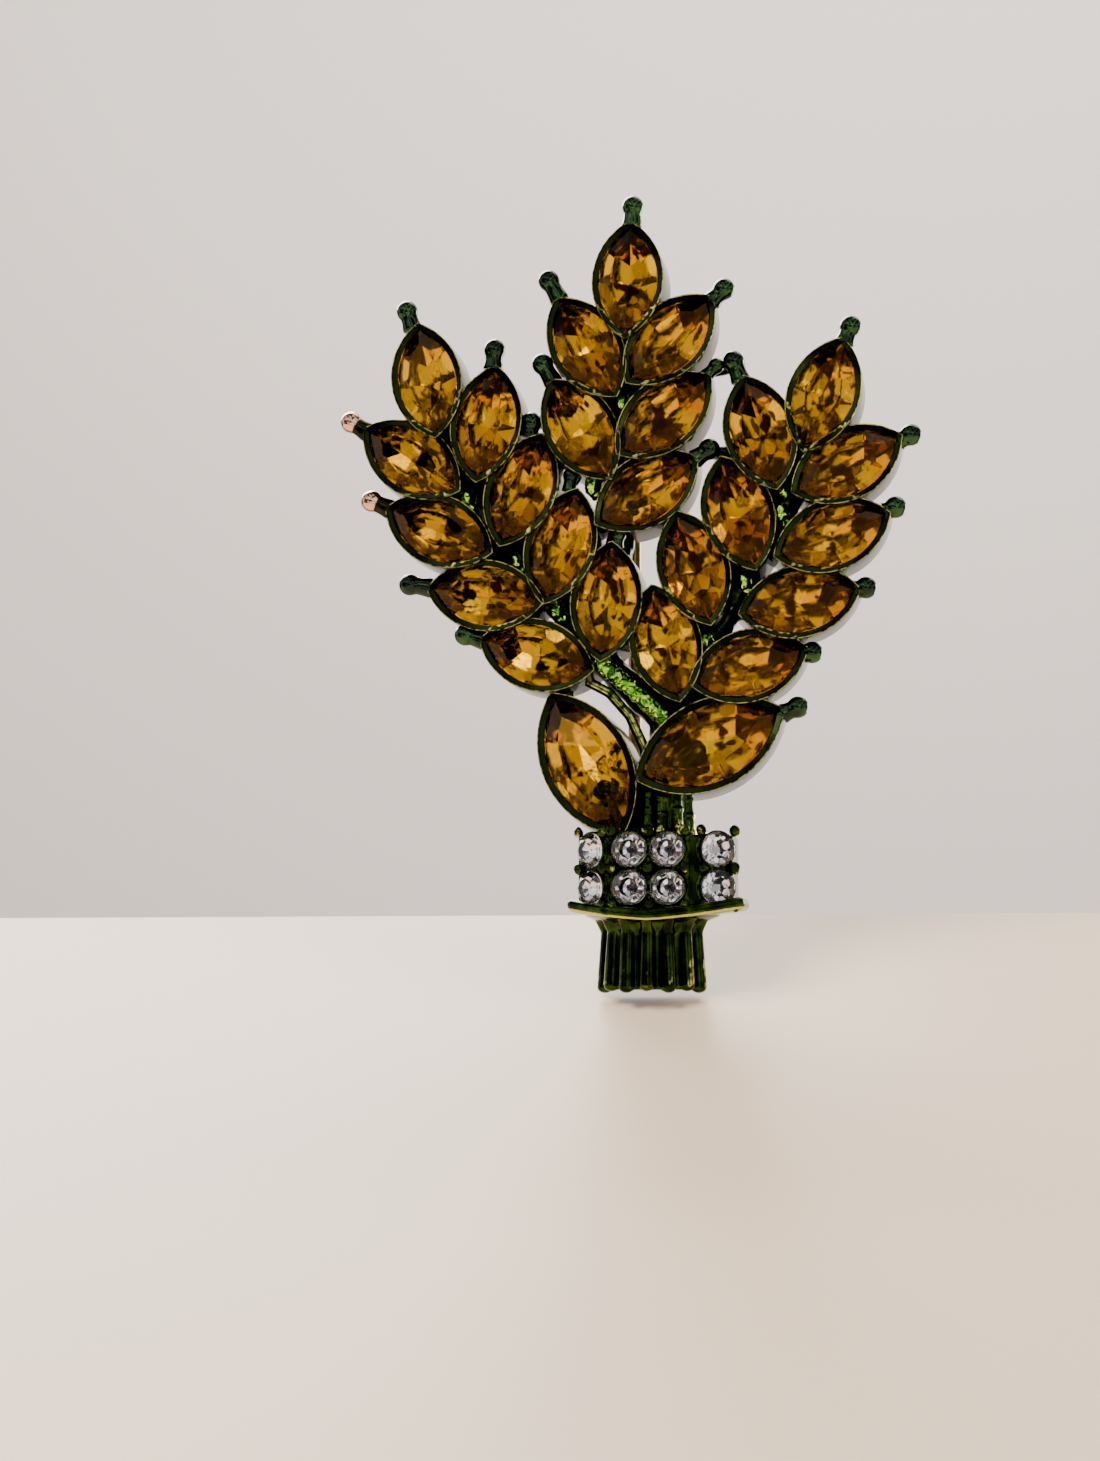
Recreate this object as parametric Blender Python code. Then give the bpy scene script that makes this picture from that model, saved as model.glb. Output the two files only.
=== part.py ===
"""Wheat-sheaf brooch: a cast sheaf set with glass stones, on a swinging pin with a turning lock.

Units are metres, +Z is up, and the stones face -Y. The origin is the middle of the flat back of
the stalk bundle, under the tie band. The needle hangs behind the back, at +Y.
"""
import math

import bmesh
import bpy
from mathutils import Matrix, Vector

MM = 0.001

# Pointed-oval stones: the grains of the three ears, and the two leaves
GRAIN_LENGTH = 7.3 * MM
GRAIN_WIDTH = 4.0 * MM
GRAIN_CROWN = 0.95 * MM
GRAIN_PAVILION = 1.8 * MM
LEAF_LENGTH = 9.8 * MM
LEAF_WIDTH = 5.0 * MM
LEAF_CROWN = 1.1 * MM
LEAF_PAVILION = 1.9 * MM
GIRDLE = 0.22 * MM  # thickness of any stone's edge
TABLE_SHARE = 0.52  # the flat top of a stone, as a share of its outline

# Cups that hold them
SEAT_GAP = 0.08 * MM
CUP_WALL = 0.36 * MM
LEAF_CUP_WALL = 0.62 * MM
CUP_LIP = 0.18 * MM  # height of the rim above the stone's edge
CUP_DRAFT = 0.14 * MM
BACK_WALL = 0.9 * MM
OUTWARD_TILT = math.radians(4)  # each grain leans back towards its outer tip

# Awns: a short stem with a ball on each grain's outer tip
AWN_BALL = 0.74 * MM
SMALL_AWN_BALL = 0.55 * MM
AWN_STEM = 0.42 * MM
AWN_HEIGHT = 2.2 * MM  # of the ball's middle above the back

# Stalks that carry the ears
RACHIS_RADIUS = 1.0 * MM
RACHIS_HEIGHT = 0.6 * MM
TWIG_RADIUS = 0.55 * MM
TWIG_HEIGHT = 2.1 * MM
WEB_RADIUS = 0.5 * MM
WEB_HEIGHT = 1.3 * MM
ROD_ROLL = math.radians(11)  # turns each rod's flats away from its neighbours' planes

# Tie band with two rows of round stones on three faces, and the flange under it
BAND_STONE = 2.3 * MM
BAND_STONE_GAP = 0.2 * MM
BAND_STONE_CROWN = 0.42 * MM
BAND_STONE_PAVILION = 0.85 * MM
BAND_EDGE = 0.12 * MM
BAND_CORNER = 0.3 * MM
BAND_DEPTH = 4.8 * MM
BAND_SHIFT = 0.3 * MM
BAND_LEFT_TURN = math.radians(39)
BAND_RIGHT_TURN = math.radians(28)
BAND_LEFT_CHANNEL = 0.55 * MM
BAND_RIGHT_CHANNEL = 0.95 * MM
BAND_SIDE_EDGE = 0.5 * MM
FLANGE_THICKNESS = 0.6 * MM
FLANGE_OVERHANG = 0.5 * MM
FLANGE_DROP = 0.35 * MM  # the flange's front edge hangs this much lower

# Bundles of stalks below and above the band
BUNDLE_LENGTH = 5.1 * MM
BUNDLE_HALF_WIDTH = 3.5 * MM
BUNDLE_DEPTH = 3.6 * MM
BUNDLE_STALKS = 7
NECK_HALF_WIDTH = 2.2 * MM
NECK_DEPTH = 3.0 * MM
NECK_LENGTH = 4.4 * MM
NECK_SHIFT = 0.85 * MM
NECK_TAPER = 0.82  # size of the neck's top, as a share of its foot
NECK_STALKS = 5
STALK_GROOVE = 0.13  # how deep the grooves between stalks go, as a share of the bundle

# Pin finding on the back
NEEDLE_RADIUS = 0.45 * MM
NEEDLE_TIP_RADIUS = 0.06 * MM
NEEDLE_POINT = 2.6 * MM
NEEDLE_OVERHANG = 2.3 * MM  # the point reaches this far past the catch's middle
NEEDLE_HEIGHT = 3.0 * MM  # of the needle's line above the back
EYE_WALL = 0.5 * MM
EYE_WIDTH = 1.15 * MM
RIVET_RADIUS = 0.4 * MM
RIVET_HEAD = 0.24 * MM
RUNNING_GAP = 0.06 * MM
EAR_WALL = 0.5 * MM
FINDING_BASE = 0.4 * MM
FINDING_BASE_RADIUS = 2.0 * MM
PAD_HEIGHT = 0.3 * MM
PAD_MARGIN = 0.2 * MM
LOCK_BORE_GAP = 0.13 * MM
LOCK_WALL = 0.55 * MM
LOCK_FLANGE = 0.45 * MM
LOCK_LEVER = 2.9 * MM  # reach of the lever from the needle's line
LOCK_LEVER_THICKNESS = 0.5 * MM
LOCK_LEVER_ANGLE = math.radians(52)
CATCH_LENGTH = 1.9 * MM
CATCH_WALL = 0.5 * MM
CATCH_MOUTH = math.radians(75)  # half of the catch's opening
POST_WIDTH = 1.5 * MM
SOLID_GAP = 0.05 * MM  # between solids that rest on each other

# Where the stones sit, in mm from the middle of the band's top edge: across, up, and the lean of
# the outer tip from upright. These places suit cups of the size in PLACES_SUIT.
PLACES_SUIT = (8.33, 4.88)  # mm, a grain cup's length and width over its walls
# ear, number, across, up, lean, then the awn's lean and reach past the cup, or None
GRAINS = (
    ("left", 1, -15.0, 30.8, -10, (-17, 1.1, AWN_BALL)),
    ("left", 2, -10.9, 27.7, 9, (5, 1.1, AWN_BALL)),
    ("left", 3, -16.0, 25.4, -56, (-57, 1.1, AWN_BALL)),
    ("left", 4, -8.5, 23.1, 20, (7, 0.6, AWN_BALL)),
    ("left", 5, -14.1, 20.5, -66, (-65, 1.2, AWN_BALL)),
    ("left", 6, -5.8, 19.2, 16, (7, 0.8, SMALL_AWN_BALL)),
    ("left", 7, -10.9, 16.0, -82, (-80, 1.3, AWN_BALL)),
    ("left", 8, -2.7, 15.4, 5, (9, 0.5, SMALL_AWN_BALL)),
    ("left", 9, -7.4, 11.9, -74, (-73, 1.1, AWN_BALL)),
    ("middle", 1, -1.2, 37.2, 2, (3, 1.1, AWN_BALL)),
    ("middle", 2, -4.0, 32.7, -31, (-29, 1.4, AWN_BALL)),
    ("middle", 3, 1.6, 33.0, 45, (46, 0.9, AWN_BALL)),
    ("middle", 4, -4.4, 27.1, -31, (-30, 1.3, AWN_BALL)),
    ("middle", 5, 1.2, 27.9, 50, (46, 0.7, SMALL_AWN_BALL)),
    ("middle", 6, 0.0, 22.8, 57, (56, 0.9, AWN_BALL)),
    ("right", 1, 7.7, 26.5, -16, (-20, 1.2, AWN_BALL)),
    ("right", 2, 11.9, 28.9, 19, (21, 0.9, AWN_BALL)),
    ("right", 3, 13.4, 24.2, 63, (65, 0.5, AWN_BALL)),
    ("right", 4, 6.2, 21.1, -17, None),
    ("right", 5, 12.4, 19.5, 70, (66, 0.4, AWN_BALL)),
    ("right", 6, 3.2, 17.5, -17, None),
    ("right", 7, 10.2, 15.1, 79, (78, 0.3, AWN_BALL)),
    ("right", 8, 1.3, 12.5, -14, None),
    ("right", 9, 6.8, 10.9, 74, (78, 0.1, AWN_BALL)),
)
LEAVES = (
    ("left", -4.0, 4.5, -27, None),
    ("right", 4.2, 5.7, 65, (67, 0.8, AWN_BALL)),
)
# Stalks as points across and up, in mm, from the same place
NECK_TOP = (0.8, 2.6)
RACHISES = (
    (NECK_TOP, (0.9, 7.6), (-3.0, 11.4), (-6.0, 15.2), (-9.0, 18.6), (-12.4, 23.0), (-13.6, 27.0)),
    (NECK_TOP, (2.4, 8.2), (4.0, 12.9), (6.5, 16.9), (9.0, 21.3), (10.0, 25.4)),
    ((-2.2, 18.9), (-1.6, 22.0), (-1.7, 29.0), (-1.2, 35.0)),
)
TWIG = ((1.2, 7.6), (-3.1, 11.4))
# Short webs that join neighbouring ears, and the leaves to the neck
WEBS = (
    ((4.6, 31.2), (6.1, 31.6)),
    ((3.8, 25.6), (6.4, 25.4)),
    ((-8.0, 27.9), (-5.4, 28.6)),
    ((-5.2, 24.0), (-4.4, 25.4)),
    ((-2.2, 20.2), (-1.0, 21.6)),
    ((-5.6, 9.8), (-5.6, 8.0)),
    ((-3.0, 3.0), NECK_TOP),
    ((3.4, 5.4), NECK_TOP),
)
JOINT_PLACE = (-1.6, 32.0)  # of the pin's joint, behind the middle ear

# Colours for the first finish of each kind of piece
CASTING_COLOUR = (0.035, 0.060, 0.030)
AMBER = (0.75, 0.30, 0.02)
CLEAR = (0.90, 0.89, 0.92)
WIRE_COLOUR = (0.50, 0.36, 0.18)


def clear_scene():
    for item in list(bpy.data.objects):
        bpy.data.objects.remove(item, do_unlink=True)


def make_material(name, colour, metallic, roughness):
    material = bpy.data.materials.new(name)
    material.use_nodes = True
    shader = material.node_tree.nodes["Principled BSDF"]
    shader.inputs["Base Color"].default_value = (*colour, 1.0)
    shader.inputs["Metallic"].default_value = metallic
    shader.inputs["Roughness"].default_value = roughness
    material.diffuse_color = (*colour, 1.0)
    return material


def add_object(name, mesh, material=None, matrix=None):
    item = bpy.data.objects.new(name, mesh)
    bpy.context.scene.collection.objects.link(item)
    if material:
        item.data.materials.clear()
        item.data.materials.append(material)
    if matrix:
        item.matrix_world = matrix
    return item


def mesh_from(work, name):
    mesh = bpy.data.meshes.new(name)
    work.to_mesh(mesh)
    work.free()
    return mesh


def loft(rings, name):
    """A closed solid through rings of points that run counter-clockwise, seen from the last one."""
    work = bmesh.new()
    rows = [[work.verts.new(point) for point in ring] for ring in rings]
    count = len(rows[0])
    for low, high in zip(rows, rows[1:]):
        for i in range(count):
            j = (i + 1) % count
            work.faces.new((low[i], low[j], high[j], high[i]))
    work.faces.new(list(reversed(rows[0])))
    work.faces.new(rows[-1])
    return mesh_from(work, name)


def circle(radius, height, sides):
    steps = [2 * math.pi * i / sides for i in range(sides)]
    return [(radius * math.cos(a), radius * math.sin(a), height) for a in steps]


def turned(profile, sides, name):
    """A solid of revolution about Z, from (radius, height) pairs given bottom to top."""
    return loft([circle(radius, height, sides) for radius, height in profile], name)


def box(low, high, name):
    (x0, y0, z0), (x1, y1, z1) = low, high
    ring = [(x0, y0), (x1, y0), (x1, y1), (x0, y1)]
    return loft([[(x, y, z) for x, y in ring] for z in (z0, z1)], name)


def ball(radius, name):
    work = bmesh.new()
    bmesh.ops.create_icosphere(work, subdivisions=2, radius=radius)
    return mesh_from(work, name)


def between(start, end):
    """A matrix that puts the origin at start and +Z towards end."""
    turn = (end - start).to_track_quat("Z", "Y").to_matrix().to_4x4()
    return Matrix.Translation(start) @ turn


def navette(length, width, grow, height, share=1.0, per_side=6):
    """A pointed oval from two arcs, grown evenly, as a ring of points at a height."""
    radius = (length**2 + width**2) / (4 * width)
    inset = radius - width / 2
    reach = radius + grow
    half_angle = math.acos(inset / reach)
    ring = []
    for side in (1, -1):
        for i in range(per_side):
            angle = half_angle * (1 - 2 * i / per_side)
            along = side * reach * math.sin(angle)
            across = side * (reach * math.cos(angle) - inset)
            ring.append((along * share, across * share, height))
    return ring


def cup_size(length, width, wall):
    """Length and width over the walls of the cup that holds a stone of this size."""
    ring = navette(length, width, SEAT_GAP + wall, 0)
    return 2 * max(point[0] for point in ring), width + 2 * (SEAT_GAP + wall)


def places_scale():
    """How far the places spread, so that cups of another size still fit side by side."""
    size = cup_size(GRAIN_LENGTH, GRAIN_WIDTH, CUP_WALL)
    return max(size[0] / (PLACES_SUIT[0] * MM), size[1] / (PLACES_SUIT[1] * MM))


SPREAD = places_scale()
BAND_PITCH = BAND_STONE + BAND_STONE_GAP
FOOT = -BUNDLE_LENGTH / 2
FLANGE_BOTTOM = BUNDLE_LENGTH / 2
BAND_BOTTOM = FLANGE_BOTTOM + FLANGE_THICKNESS
BAND_TOP = BAND_BOTTOM + BAND_PITCH + BAND_STONE + 2 * BAND_EDGE
BAND_MIDDLE = (BAND_BOTTOM + BAND_TOP) / 2
BEHIND = 0.6 * MM  # pieces of the casting start this far behind its back, and are cut flush


def place(across, up, height):
    """A point from its place in mm and its height above the back."""
    return Vector((across * MM * SPREAD, -height, BAND_TOP + up * MM * SPREAD))


JOINT = place(*JOINT_PLACE, -NEEDLE_HEIGHT)
CATCH = Vector((JOINT.x, NEEDLE_HEIGHT, BAND_MIDDLE))


class Setting:
    """One pointed stone with its cup: sizes, and the frame that it is built in.

    In that frame +X runs to the outer tip, +Z out of the stone, and the origin is in the middle
    of the stone's edge.
    """

    def __init__(self, size, wall, across, up, lean):
        self.length, self.width, self.crown, self.pavilion = size
        self.wall = wall
        self.seat = BACK_WALL + self.pavilion
        outer = Vector((math.sin(math.radians(lean)), 0, math.cos(math.radians(lean))))
        along = outer * math.cos(OUTWARD_TILT) + Vector((0, 1, 0)) * math.sin(OUTWARD_TILT)
        out = Vector((0, -1, 0)) * math.cos(OUTWARD_TILT) + outer * math.sin(OUTWARD_TILT)
        side = out.cross(along)
        turn = Matrix((along, side, out)).transposed().to_4x4()
        self.centre = place(across, up, self.seat)
        self.matrix = Matrix.Translation(self.centre) @ turn

    def stone(self, name):
        outline = (self.length, self.width)
        return loft(
            [
                navette(*outline, 0, -self.pavilion + SEAT_GAP, 0.16),
                navette(*outline, 0, 0),
                navette(*outline, 0, GIRDLE),
                navette(*outline, 0, self.crown, TABLE_SHARE),
            ],
            name,
        )

    def cup(self, name):
        outline = (self.length, self.width)
        grow = SEAT_GAP + self.wall
        return loft(
            [
                navette(*outline, grow + CUP_DRAFT, -self.seat - BEHIND),
                navette(*outline, grow, GIRDLE + CUP_LIP),
            ],
            name,
        )

    def pocket(self, name):
        outline = (self.length, self.width)
        top = GIRDLE + self.crown
        return loft(
            [
                navette(*outline, SEAT_GAP, -self.pavilion, 0.22),
                navette(*outline, SEAT_GAP, -SEAT_GAP),
                navette(*outline, SEAT_GAP, top),
            ],
            name,
        )

    def awn(self, lean, reach):
        """Where the awn's stem starts, inside the cup, and where its ball sits."""
        half = cup_size(self.length, self.width, self.wall)[0] / 2
        way = Vector((math.sin(math.radians(lean)), 0, math.cos(math.radians(lean))))
        flat = Vector((self.centre.x, -AWN_HEIGHT, self.centre.z))
        return flat + way * (half - self.wall), flat + way * (half + reach * MM)


def new_collection(name):
    group = bpy.data.collections.new(name)
    bpy.context.scene.collection.children.link(group)
    return group


def add_to(group, mesh, matrix=None):
    """A shape that a Boolean modifier reads, which is not a piece itself."""
    item = bpy.data.objects.new(mesh.name, mesh)
    item.hide_render = True
    item.display_type = "WIRE"
    if matrix:
        item.matrix_world = matrix
    group.objects.link(item)
    return item


def boolean(item, operation, group):
    modifier = item.modifiers.new(operation.title(), "BOOLEAN")
    modifier.operation = operation
    modifier.solver = "EXACT"
    modifier.operand_type = "COLLECTION"
    modifier.collection = group


def add_rod(group, start, end, radius, name):
    """A straight rod with eight sides, a little longer than the line at both ends."""
    extra = (end - start).normalized() * radius * 0.4
    length = (end - start).length + 2 * extra.length
    mesh = turned([(radius, 0), (radius, length)], 8, name)
    mesh.transform(Matrix.Rotation(ROD_ROLL, 4, "Z"))
    add_to(group, mesh, between(start - extra, end + extra))


def add_run(group, points, radius, height, name):
    spots = [place(*point, height) for point in points]
    for number, (start, end) in enumerate(zip(spots, spots[1:])):
        add_rod(group, start, end, radius, f"{name}_{number}")


def web_points(points):
    """A web's ends, moved apart so that they still reach the cups when the places spread."""
    (x1, z1), (x2, z2) = points
    extra = (SPREAD - 1) * GRAIN_LENGTH / MM / 2
    share = extra / math.hypot(x2 - x1, z2 - z1)
    run = ((x2 - x1) * share, (z2 - z1) * share)
    return (x1 - run[0], z1 - run[1]), (x2 + run[0], z2 + run[1])


def add_awn(group, setting, awn, name):
    lean, reach, radius = awn
    start, end = setting.awn(lean, reach)
    add_rod(group, start, end, AWN_STEM, f"{name}_stem")
    add_to(group, ball(radius, f"{name}_ball"), Matrix.Translation(end))


def band_plan():
    """The band's outline seen from above, from its left back edge round the front."""
    half = BAND_PITCH / 2 + BAND_STONE / 2 + BAND_CORNER
    left_run = BAND_LEFT_CHANNEL + BAND_STONE + BAND_SIDE_EDGE
    right_run = BAND_RIGHT_CHANNEL + BAND_STONE + BAND_SIDE_EDGE * 0.5
    left = Vector((BAND_SHIFT - half, -BAND_DEPTH))
    right = Vector((BAND_SHIFT + half, -BAND_DEPTH))
    left_end = left + Vector((-math.cos(BAND_LEFT_TURN), math.sin(BAND_LEFT_TURN))) * left_run
    right_end = right + Vector((math.cos(BAND_RIGHT_TURN), math.sin(BAND_RIGHT_TURN))) * right_run
    return [left_end, left, right, right_end]


def plan_solid(plan, low, high, front_drop, grow, name):
    """The band's outline raised between two heights, with its front edge let down."""
    middle = Vector((BAND_SHIFT, 0))
    grown = [point + (point - middle).normalized() * grow for point in plan]
    ends = [Vector((grown[0].x - grow, BEHIND)), Vector((grown[-1].x + grow, BEHIND))]
    outline = [ends[0], *grown, ends[1]]
    deepest = min(point.y for point in outline)

    def level(height, drop):
        return [(p.x, p.y, height - drop * max(p.y, deepest) / deepest) for p in outline]

    return loft([level(low, front_drop), level(high, 0)], name)


def band_seats():
    """A matrix for each round stone: +Z out of the band, origin on the band's face."""
    left_end, left, right, right_end = band_plan()
    middle = (left + right) / 2
    half_pitch = Vector((BAND_PITCH / 2, 0))
    left_way = (left_end - left).normalized()
    right_way = (right_end - right).normalized()
    columns = (
        (left + left_way * (BAND_LEFT_CHANNEL + BAND_STONE / 2), -BAND_LEFT_TURN),
        (middle - half_pitch, 0),
        (middle + half_pitch, 0),
        (right + right_way * (BAND_RIGHT_CHANNEL + BAND_STONE / 2), BAND_RIGHT_TURN),
    )
    seats = {}
    rows = (("upper", BAND_MIDDLE + BAND_PITCH / 2), ("lower", BAND_MIDDLE - BAND_PITCH / 2))
    for row, height in rows:
        for number, (spot, turn) in enumerate(columns, start=1):
            out = Matrix.Rotation(turn, 4, "Z") @ Matrix.Rotation(math.pi / 2, 4, "X")
            point = Vector((spot.x, spot.y, height))
            seats[f"{row}_{number}"] = Matrix.Translation(point) @ out
    return seats


def bundle(levels, stalks, name):
    """Stalks side by side on a half-round core, through (height, half width, depth, shift)."""

    def ring(height, half_width, depth, shift):
        points = [(shift - half_width, BEHIND, height)]
        steps = 3 * stalks
        for i in range(steps + 1):
            angle = math.pi * i / steps
            size = 1 - STALK_GROOVE if i % 3 == 0 else 1
            across = shift - half_width * math.cos(angle) * size
            points.append((across, -depth * math.sin(angle) * size, height))
        points.append((shift + half_width, BEHIND, height))
        return points

    return loft([ring(*level) for level in levels], name)


def add_bundles(group):
    half, depth = BUNDLE_HALF_WIDTH, BUNDLE_DEPTH
    flare = FLANGE_OVERHANG * 2
    foot = (
        (FOOT, half - CUP_WALL, depth - CUP_WALL, 0),
        (FOOT + CUP_WALL, half, depth, 0),
        (FLANGE_BOTTOM - flare, half, depth, 0),
        (BAND_BOTTOM - FLANGE_THICKNESS / 2, half + flare, depth + flare / 2, 0),
    )
    add_to(group, bundle(foot, BUNDLE_STALKS, "foot_bundle"))
    neck = (
        (BAND_MIDDLE, NECK_HALF_WIDTH, NECK_DEPTH, NECK_SHIFT),
        (BAND_TOP, NECK_HALF_WIDTH, NECK_DEPTH, NECK_SHIFT),
        (BAND_TOP + NECK_LENGTH, NECK_HALF_WIDTH * NECK_TAPER, NECK_DEPTH * NECK_TAPER, NECK_SHIFT),
    )
    add_to(group, bundle(neck, NECK_STALKS, "neck_bundle"))


def settings():
    """Every pointed stone's setting by node name, with its awn or None."""
    grain = (GRAIN_LENGTH, GRAIN_WIDTH, GRAIN_CROWN, GRAIN_PAVILION)
    leaf = (LEAF_LENGTH, LEAF_WIDTH, LEAF_CROWN, LEAF_PAVILION)
    found = {}
    for ear, number, across, up, lean, awn in GRAINS:
        setting = Setting(grain, CUP_WALL, across, up, lean)
        found[f"grain_stone_{ear}_{number}"] = (setting, awn)
    for side, across, up, lean, awn in LEAVES:
        setting = Setting(leaf, LEAF_CUP_WALL, across, up, lean)
        found[f"leaf_stone_{side}"] = (setting, awn)
    return found


def round_pocket():
    radius = BAND_STONE / 2 + SEAT_GAP * 0.75
    depth = GIRDLE + BAND_STONE_PAVILION
    profile = [(radius * 0.3, -depth - SEAT_GAP), (radius, -GIRDLE - SEAT_GAP), (radius, GIRDLE)]
    return turned(profile, 12, "round_pocket")


def round_stone():
    radius = BAND_STONE / 2
    profile = [
        (radius * 0.12, -GIRDLE - BAND_STONE_PAVILION + SEAT_GAP),
        (radius, -GIRDLE),
        (radius, 0),
        (radius * 0.58, BAND_STONE_CROWN),
    ]
    return turned(profile, 12, "band_stone")


def make_casting(stones, seats, material):
    bodies = new_collection("casting_bodies")
    cuts = new_collection("casting_cuts")
    recesses = new_collection("pad_recesses")
    for name, (setting, awn) in stones.items():
        add_to(bodies, setting.cup(f"cup_{name}"), setting.matrix)
        add_to(cuts, setting.pocket(f"pocket_{name}"), setting.matrix)
        if awn:
            add_awn(bodies, setting, awn, f"awn_{name}")
    for number, points in enumerate(RACHISES):
        add_run(bodies, points, RACHIS_RADIUS, RACHIS_HEIGHT, f"rachis_{number}")
    add_run(bodies, TWIG, TWIG_RADIUS, TWIG_HEIGHT, "twig")
    for number, points in enumerate(WEBS):
        add_run(bodies, web_points(points), WEB_RADIUS, WEB_HEIGHT, f"web_{number}")
    add_bundles(bodies)
    plan = band_plan()
    flange_top = BAND_BOTTOM + BAND_EDGE / 2
    flange = plan_solid(plan, FLANGE_BOTTOM, flange_top, FLANGE_DROP, FLANGE_OVERHANG, "flange")
    add_to(bodies, flange)
    round_shape = round_pocket()
    for matrix in seats.values():
        add_to(cuts, round_shape, matrix)
    slab = add_to(cuts, box((-1, 0, -1), (1, 1, 1), "behind_the_back"))
    radius = FINDING_BASE_RADIUS + PAD_MARGIN
    for spot in (JOINT, CATCH):
        upright = Matrix.Translation((spot.x, 0, spot.z)) @ Matrix.Rotation(math.pi / 2, 4, "X")
        add_to(bodies, turned([(radius, -BEHIND), (radius, BACK_WALL / 2)], 20, "pad"), upright)
        add_to(recesses, turned([(radius, -PAD_HEIGHT), (radius, 1)], 20, "pad_recess"), upright)
    boolean(slab, "DIFFERENCE", recesses)
    casting = add_object(
        "frame_casting",
        plan_solid(plan, BAND_BOTTOM, BAND_TOP, 0, 0, "frame_casting"),
        material,
    )
    boolean(casting, "UNION", bodies)
    boolean(casting, "DIFFERENCE", cuts)
    return casting


def make_stones(stones, seats, amber, clear):
    shared = {}
    for name, (setting, _) in stones.items():
        kind = name.split("_")[0]
        if kind not in shared:
            shared[kind] = setting.stone(f"{kind}_stone")
            shared[kind].materials.append(amber)
        add_object(name, shared[kind], matrix=setting.matrix)
    shape = round_stone()
    shape.materials.append(clear)
    for name, matrix in seats.items():
        add_object(f"band_stone_{name}", shape, matrix=matrix)


def finding_base(group, name):
    """The round foot of a finding, on its pad: +Y is away from the casting."""
    low = PAD_HEIGHT + SOLID_GAP
    base = turned([(FINDING_BASE_RADIUS, low), (FINDING_BASE_RADIUS, low + FINDING_BASE)], 20, name)
    add_to(group, base, Matrix.Rotation(-math.pi / 2, 4, "X"))
    return low + FINDING_BASE


def along_x(mesh_name, profile, sides=16):
    mesh = turned(profile, sides, mesh_name)
    mesh.transform(Matrix.Rotation(math.pi / 2, 4, "Y"))
    return mesh


def make_pin_joint(material):
    """Two ears on a round base, with a hole for the rivet. Its origin is below the rivet."""
    extra = new_collection("pin_joint_extra")
    cuts = new_collection("pin_joint_cuts")
    floor = finding_base(extra, "pin_joint_base")
    eye_radius = RIVET_RADIUS + RUNNING_GAP + EYE_WALL
    half_slot = EYE_WIDTH / 2 + RUNNING_GAP
    half = half_slot + EAR_WALL
    foot = FINDING_BASE_RADIUS * 0.7
    outline = [(-foot, floor - FINDING_BASE / 2), (foot, floor - FINDING_BASE / 2)]
    for i in range(7):
        angle = math.pi * i / 6
        outline.append((eye_radius * math.cos(angle), NEEDLE_HEIGHT + eye_radius * math.sin(angle)))
    ring = [[(x, y, z) for z, y in outline] for x in (-half, half)]
    ears = loft(ring, "pin_joint")
    item = add_object("pin_joint", ears, material, Matrix.Translation((JOINT.x, 0, JOINT.z)))
    span = FINDING_BASE_RADIUS + EAR_WALL
    top = NEEDLE_HEIGHT + eye_radius + EAR_WALL
    add_to(cuts, box((-half_slot, floor, -span), (half_slot, top, span), "eye_slot"))
    hole = RIVET_RADIUS + SOLID_GAP
    reach = half + EAR_WALL
    hole_mesh = along_x("rivet_hole", [(hole, -reach), (hole, reach)])
    add_to(cuts, hole_mesh, Matrix.Translation((0, NEEDLE_HEIGHT, 0)))
    for group in (extra, cuts):
        for shape in group.objects:
            shape.matrix_world = Matrix.Translation((JOINT.x, 0, JOINT.z)) @ shape.matrix_world
    boolean(item, "UNION", extra)
    boolean(item, "DIFFERENCE", cuts)


def make_rivet(material):
    inner = EYE_WIDTH / 2 + RUNNING_GAP + EAR_WALL + SOLID_GAP
    outer = inner + RIVET_HEAD
    head = RIVET_RADIUS * 1.6
    profile = [
        (head * 0.75, -outer),
        (head, -outer + RIVET_HEAD / 2),
        (head, -inner),
        (RIVET_RADIUS, -inner),
        (RIVET_RADIUS, inner),
        (head, inner),
        (head, outer - RIVET_HEAD / 2),
        (head * 0.75, outer),
    ]
    add_object("hinge_rivet", along_x("hinge_rivet", profile), material, Matrix.Translation(JOINT))


def make_pin_stem(material):
    """The needle hangs from its eye, whose middle is the origin."""
    bore = RIVET_RADIUS + RUNNING_GAP
    outer = bore + EYE_WALL
    half = EYE_WIDTH / 2
    wire = new_collection("pin_stem_wire")
    cuts = new_collection("pin_stem_cuts")
    eye = along_x("pin_stem", [(outer, -half), (outer, half)])
    item = add_object("pin_stem", eye, material, Matrix.Translation(JOINT))
    tip = CATCH.z - JOINT.z - NEEDLE_OVERHANG
    profile = [
        (NEEDLE_TIP_RADIUS, tip),
        (NEEDLE_RADIUS * 0.6, tip + NEEDLE_POINT * 0.4),
        (NEEDLE_RADIUS, tip + NEEDLE_POINT),
        (NEEDLE_RADIUS, -bore - EYE_WALL / 4),
    ]
    add_to(wire, turned(profile, 12, "needle"), Matrix.Translation(JOINT))
    add_to(cuts, along_x("eye_bore", [(bore, -outer), (bore, outer)]), Matrix.Translation(JOINT))
    boolean(item, "UNION", wire)
    boolean(item, "DIFFERENCE", cuts)


LOCK_BORE = NEEDLE_RADIUS + LOCK_BORE_GAP
LOCK_RADIUS = LOCK_BORE + LOCK_WALL
SHELL_BORE = LOCK_RADIUS + RUNNING_GAP
SHELL_RADIUS = SHELL_BORE + CATCH_WALL


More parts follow.
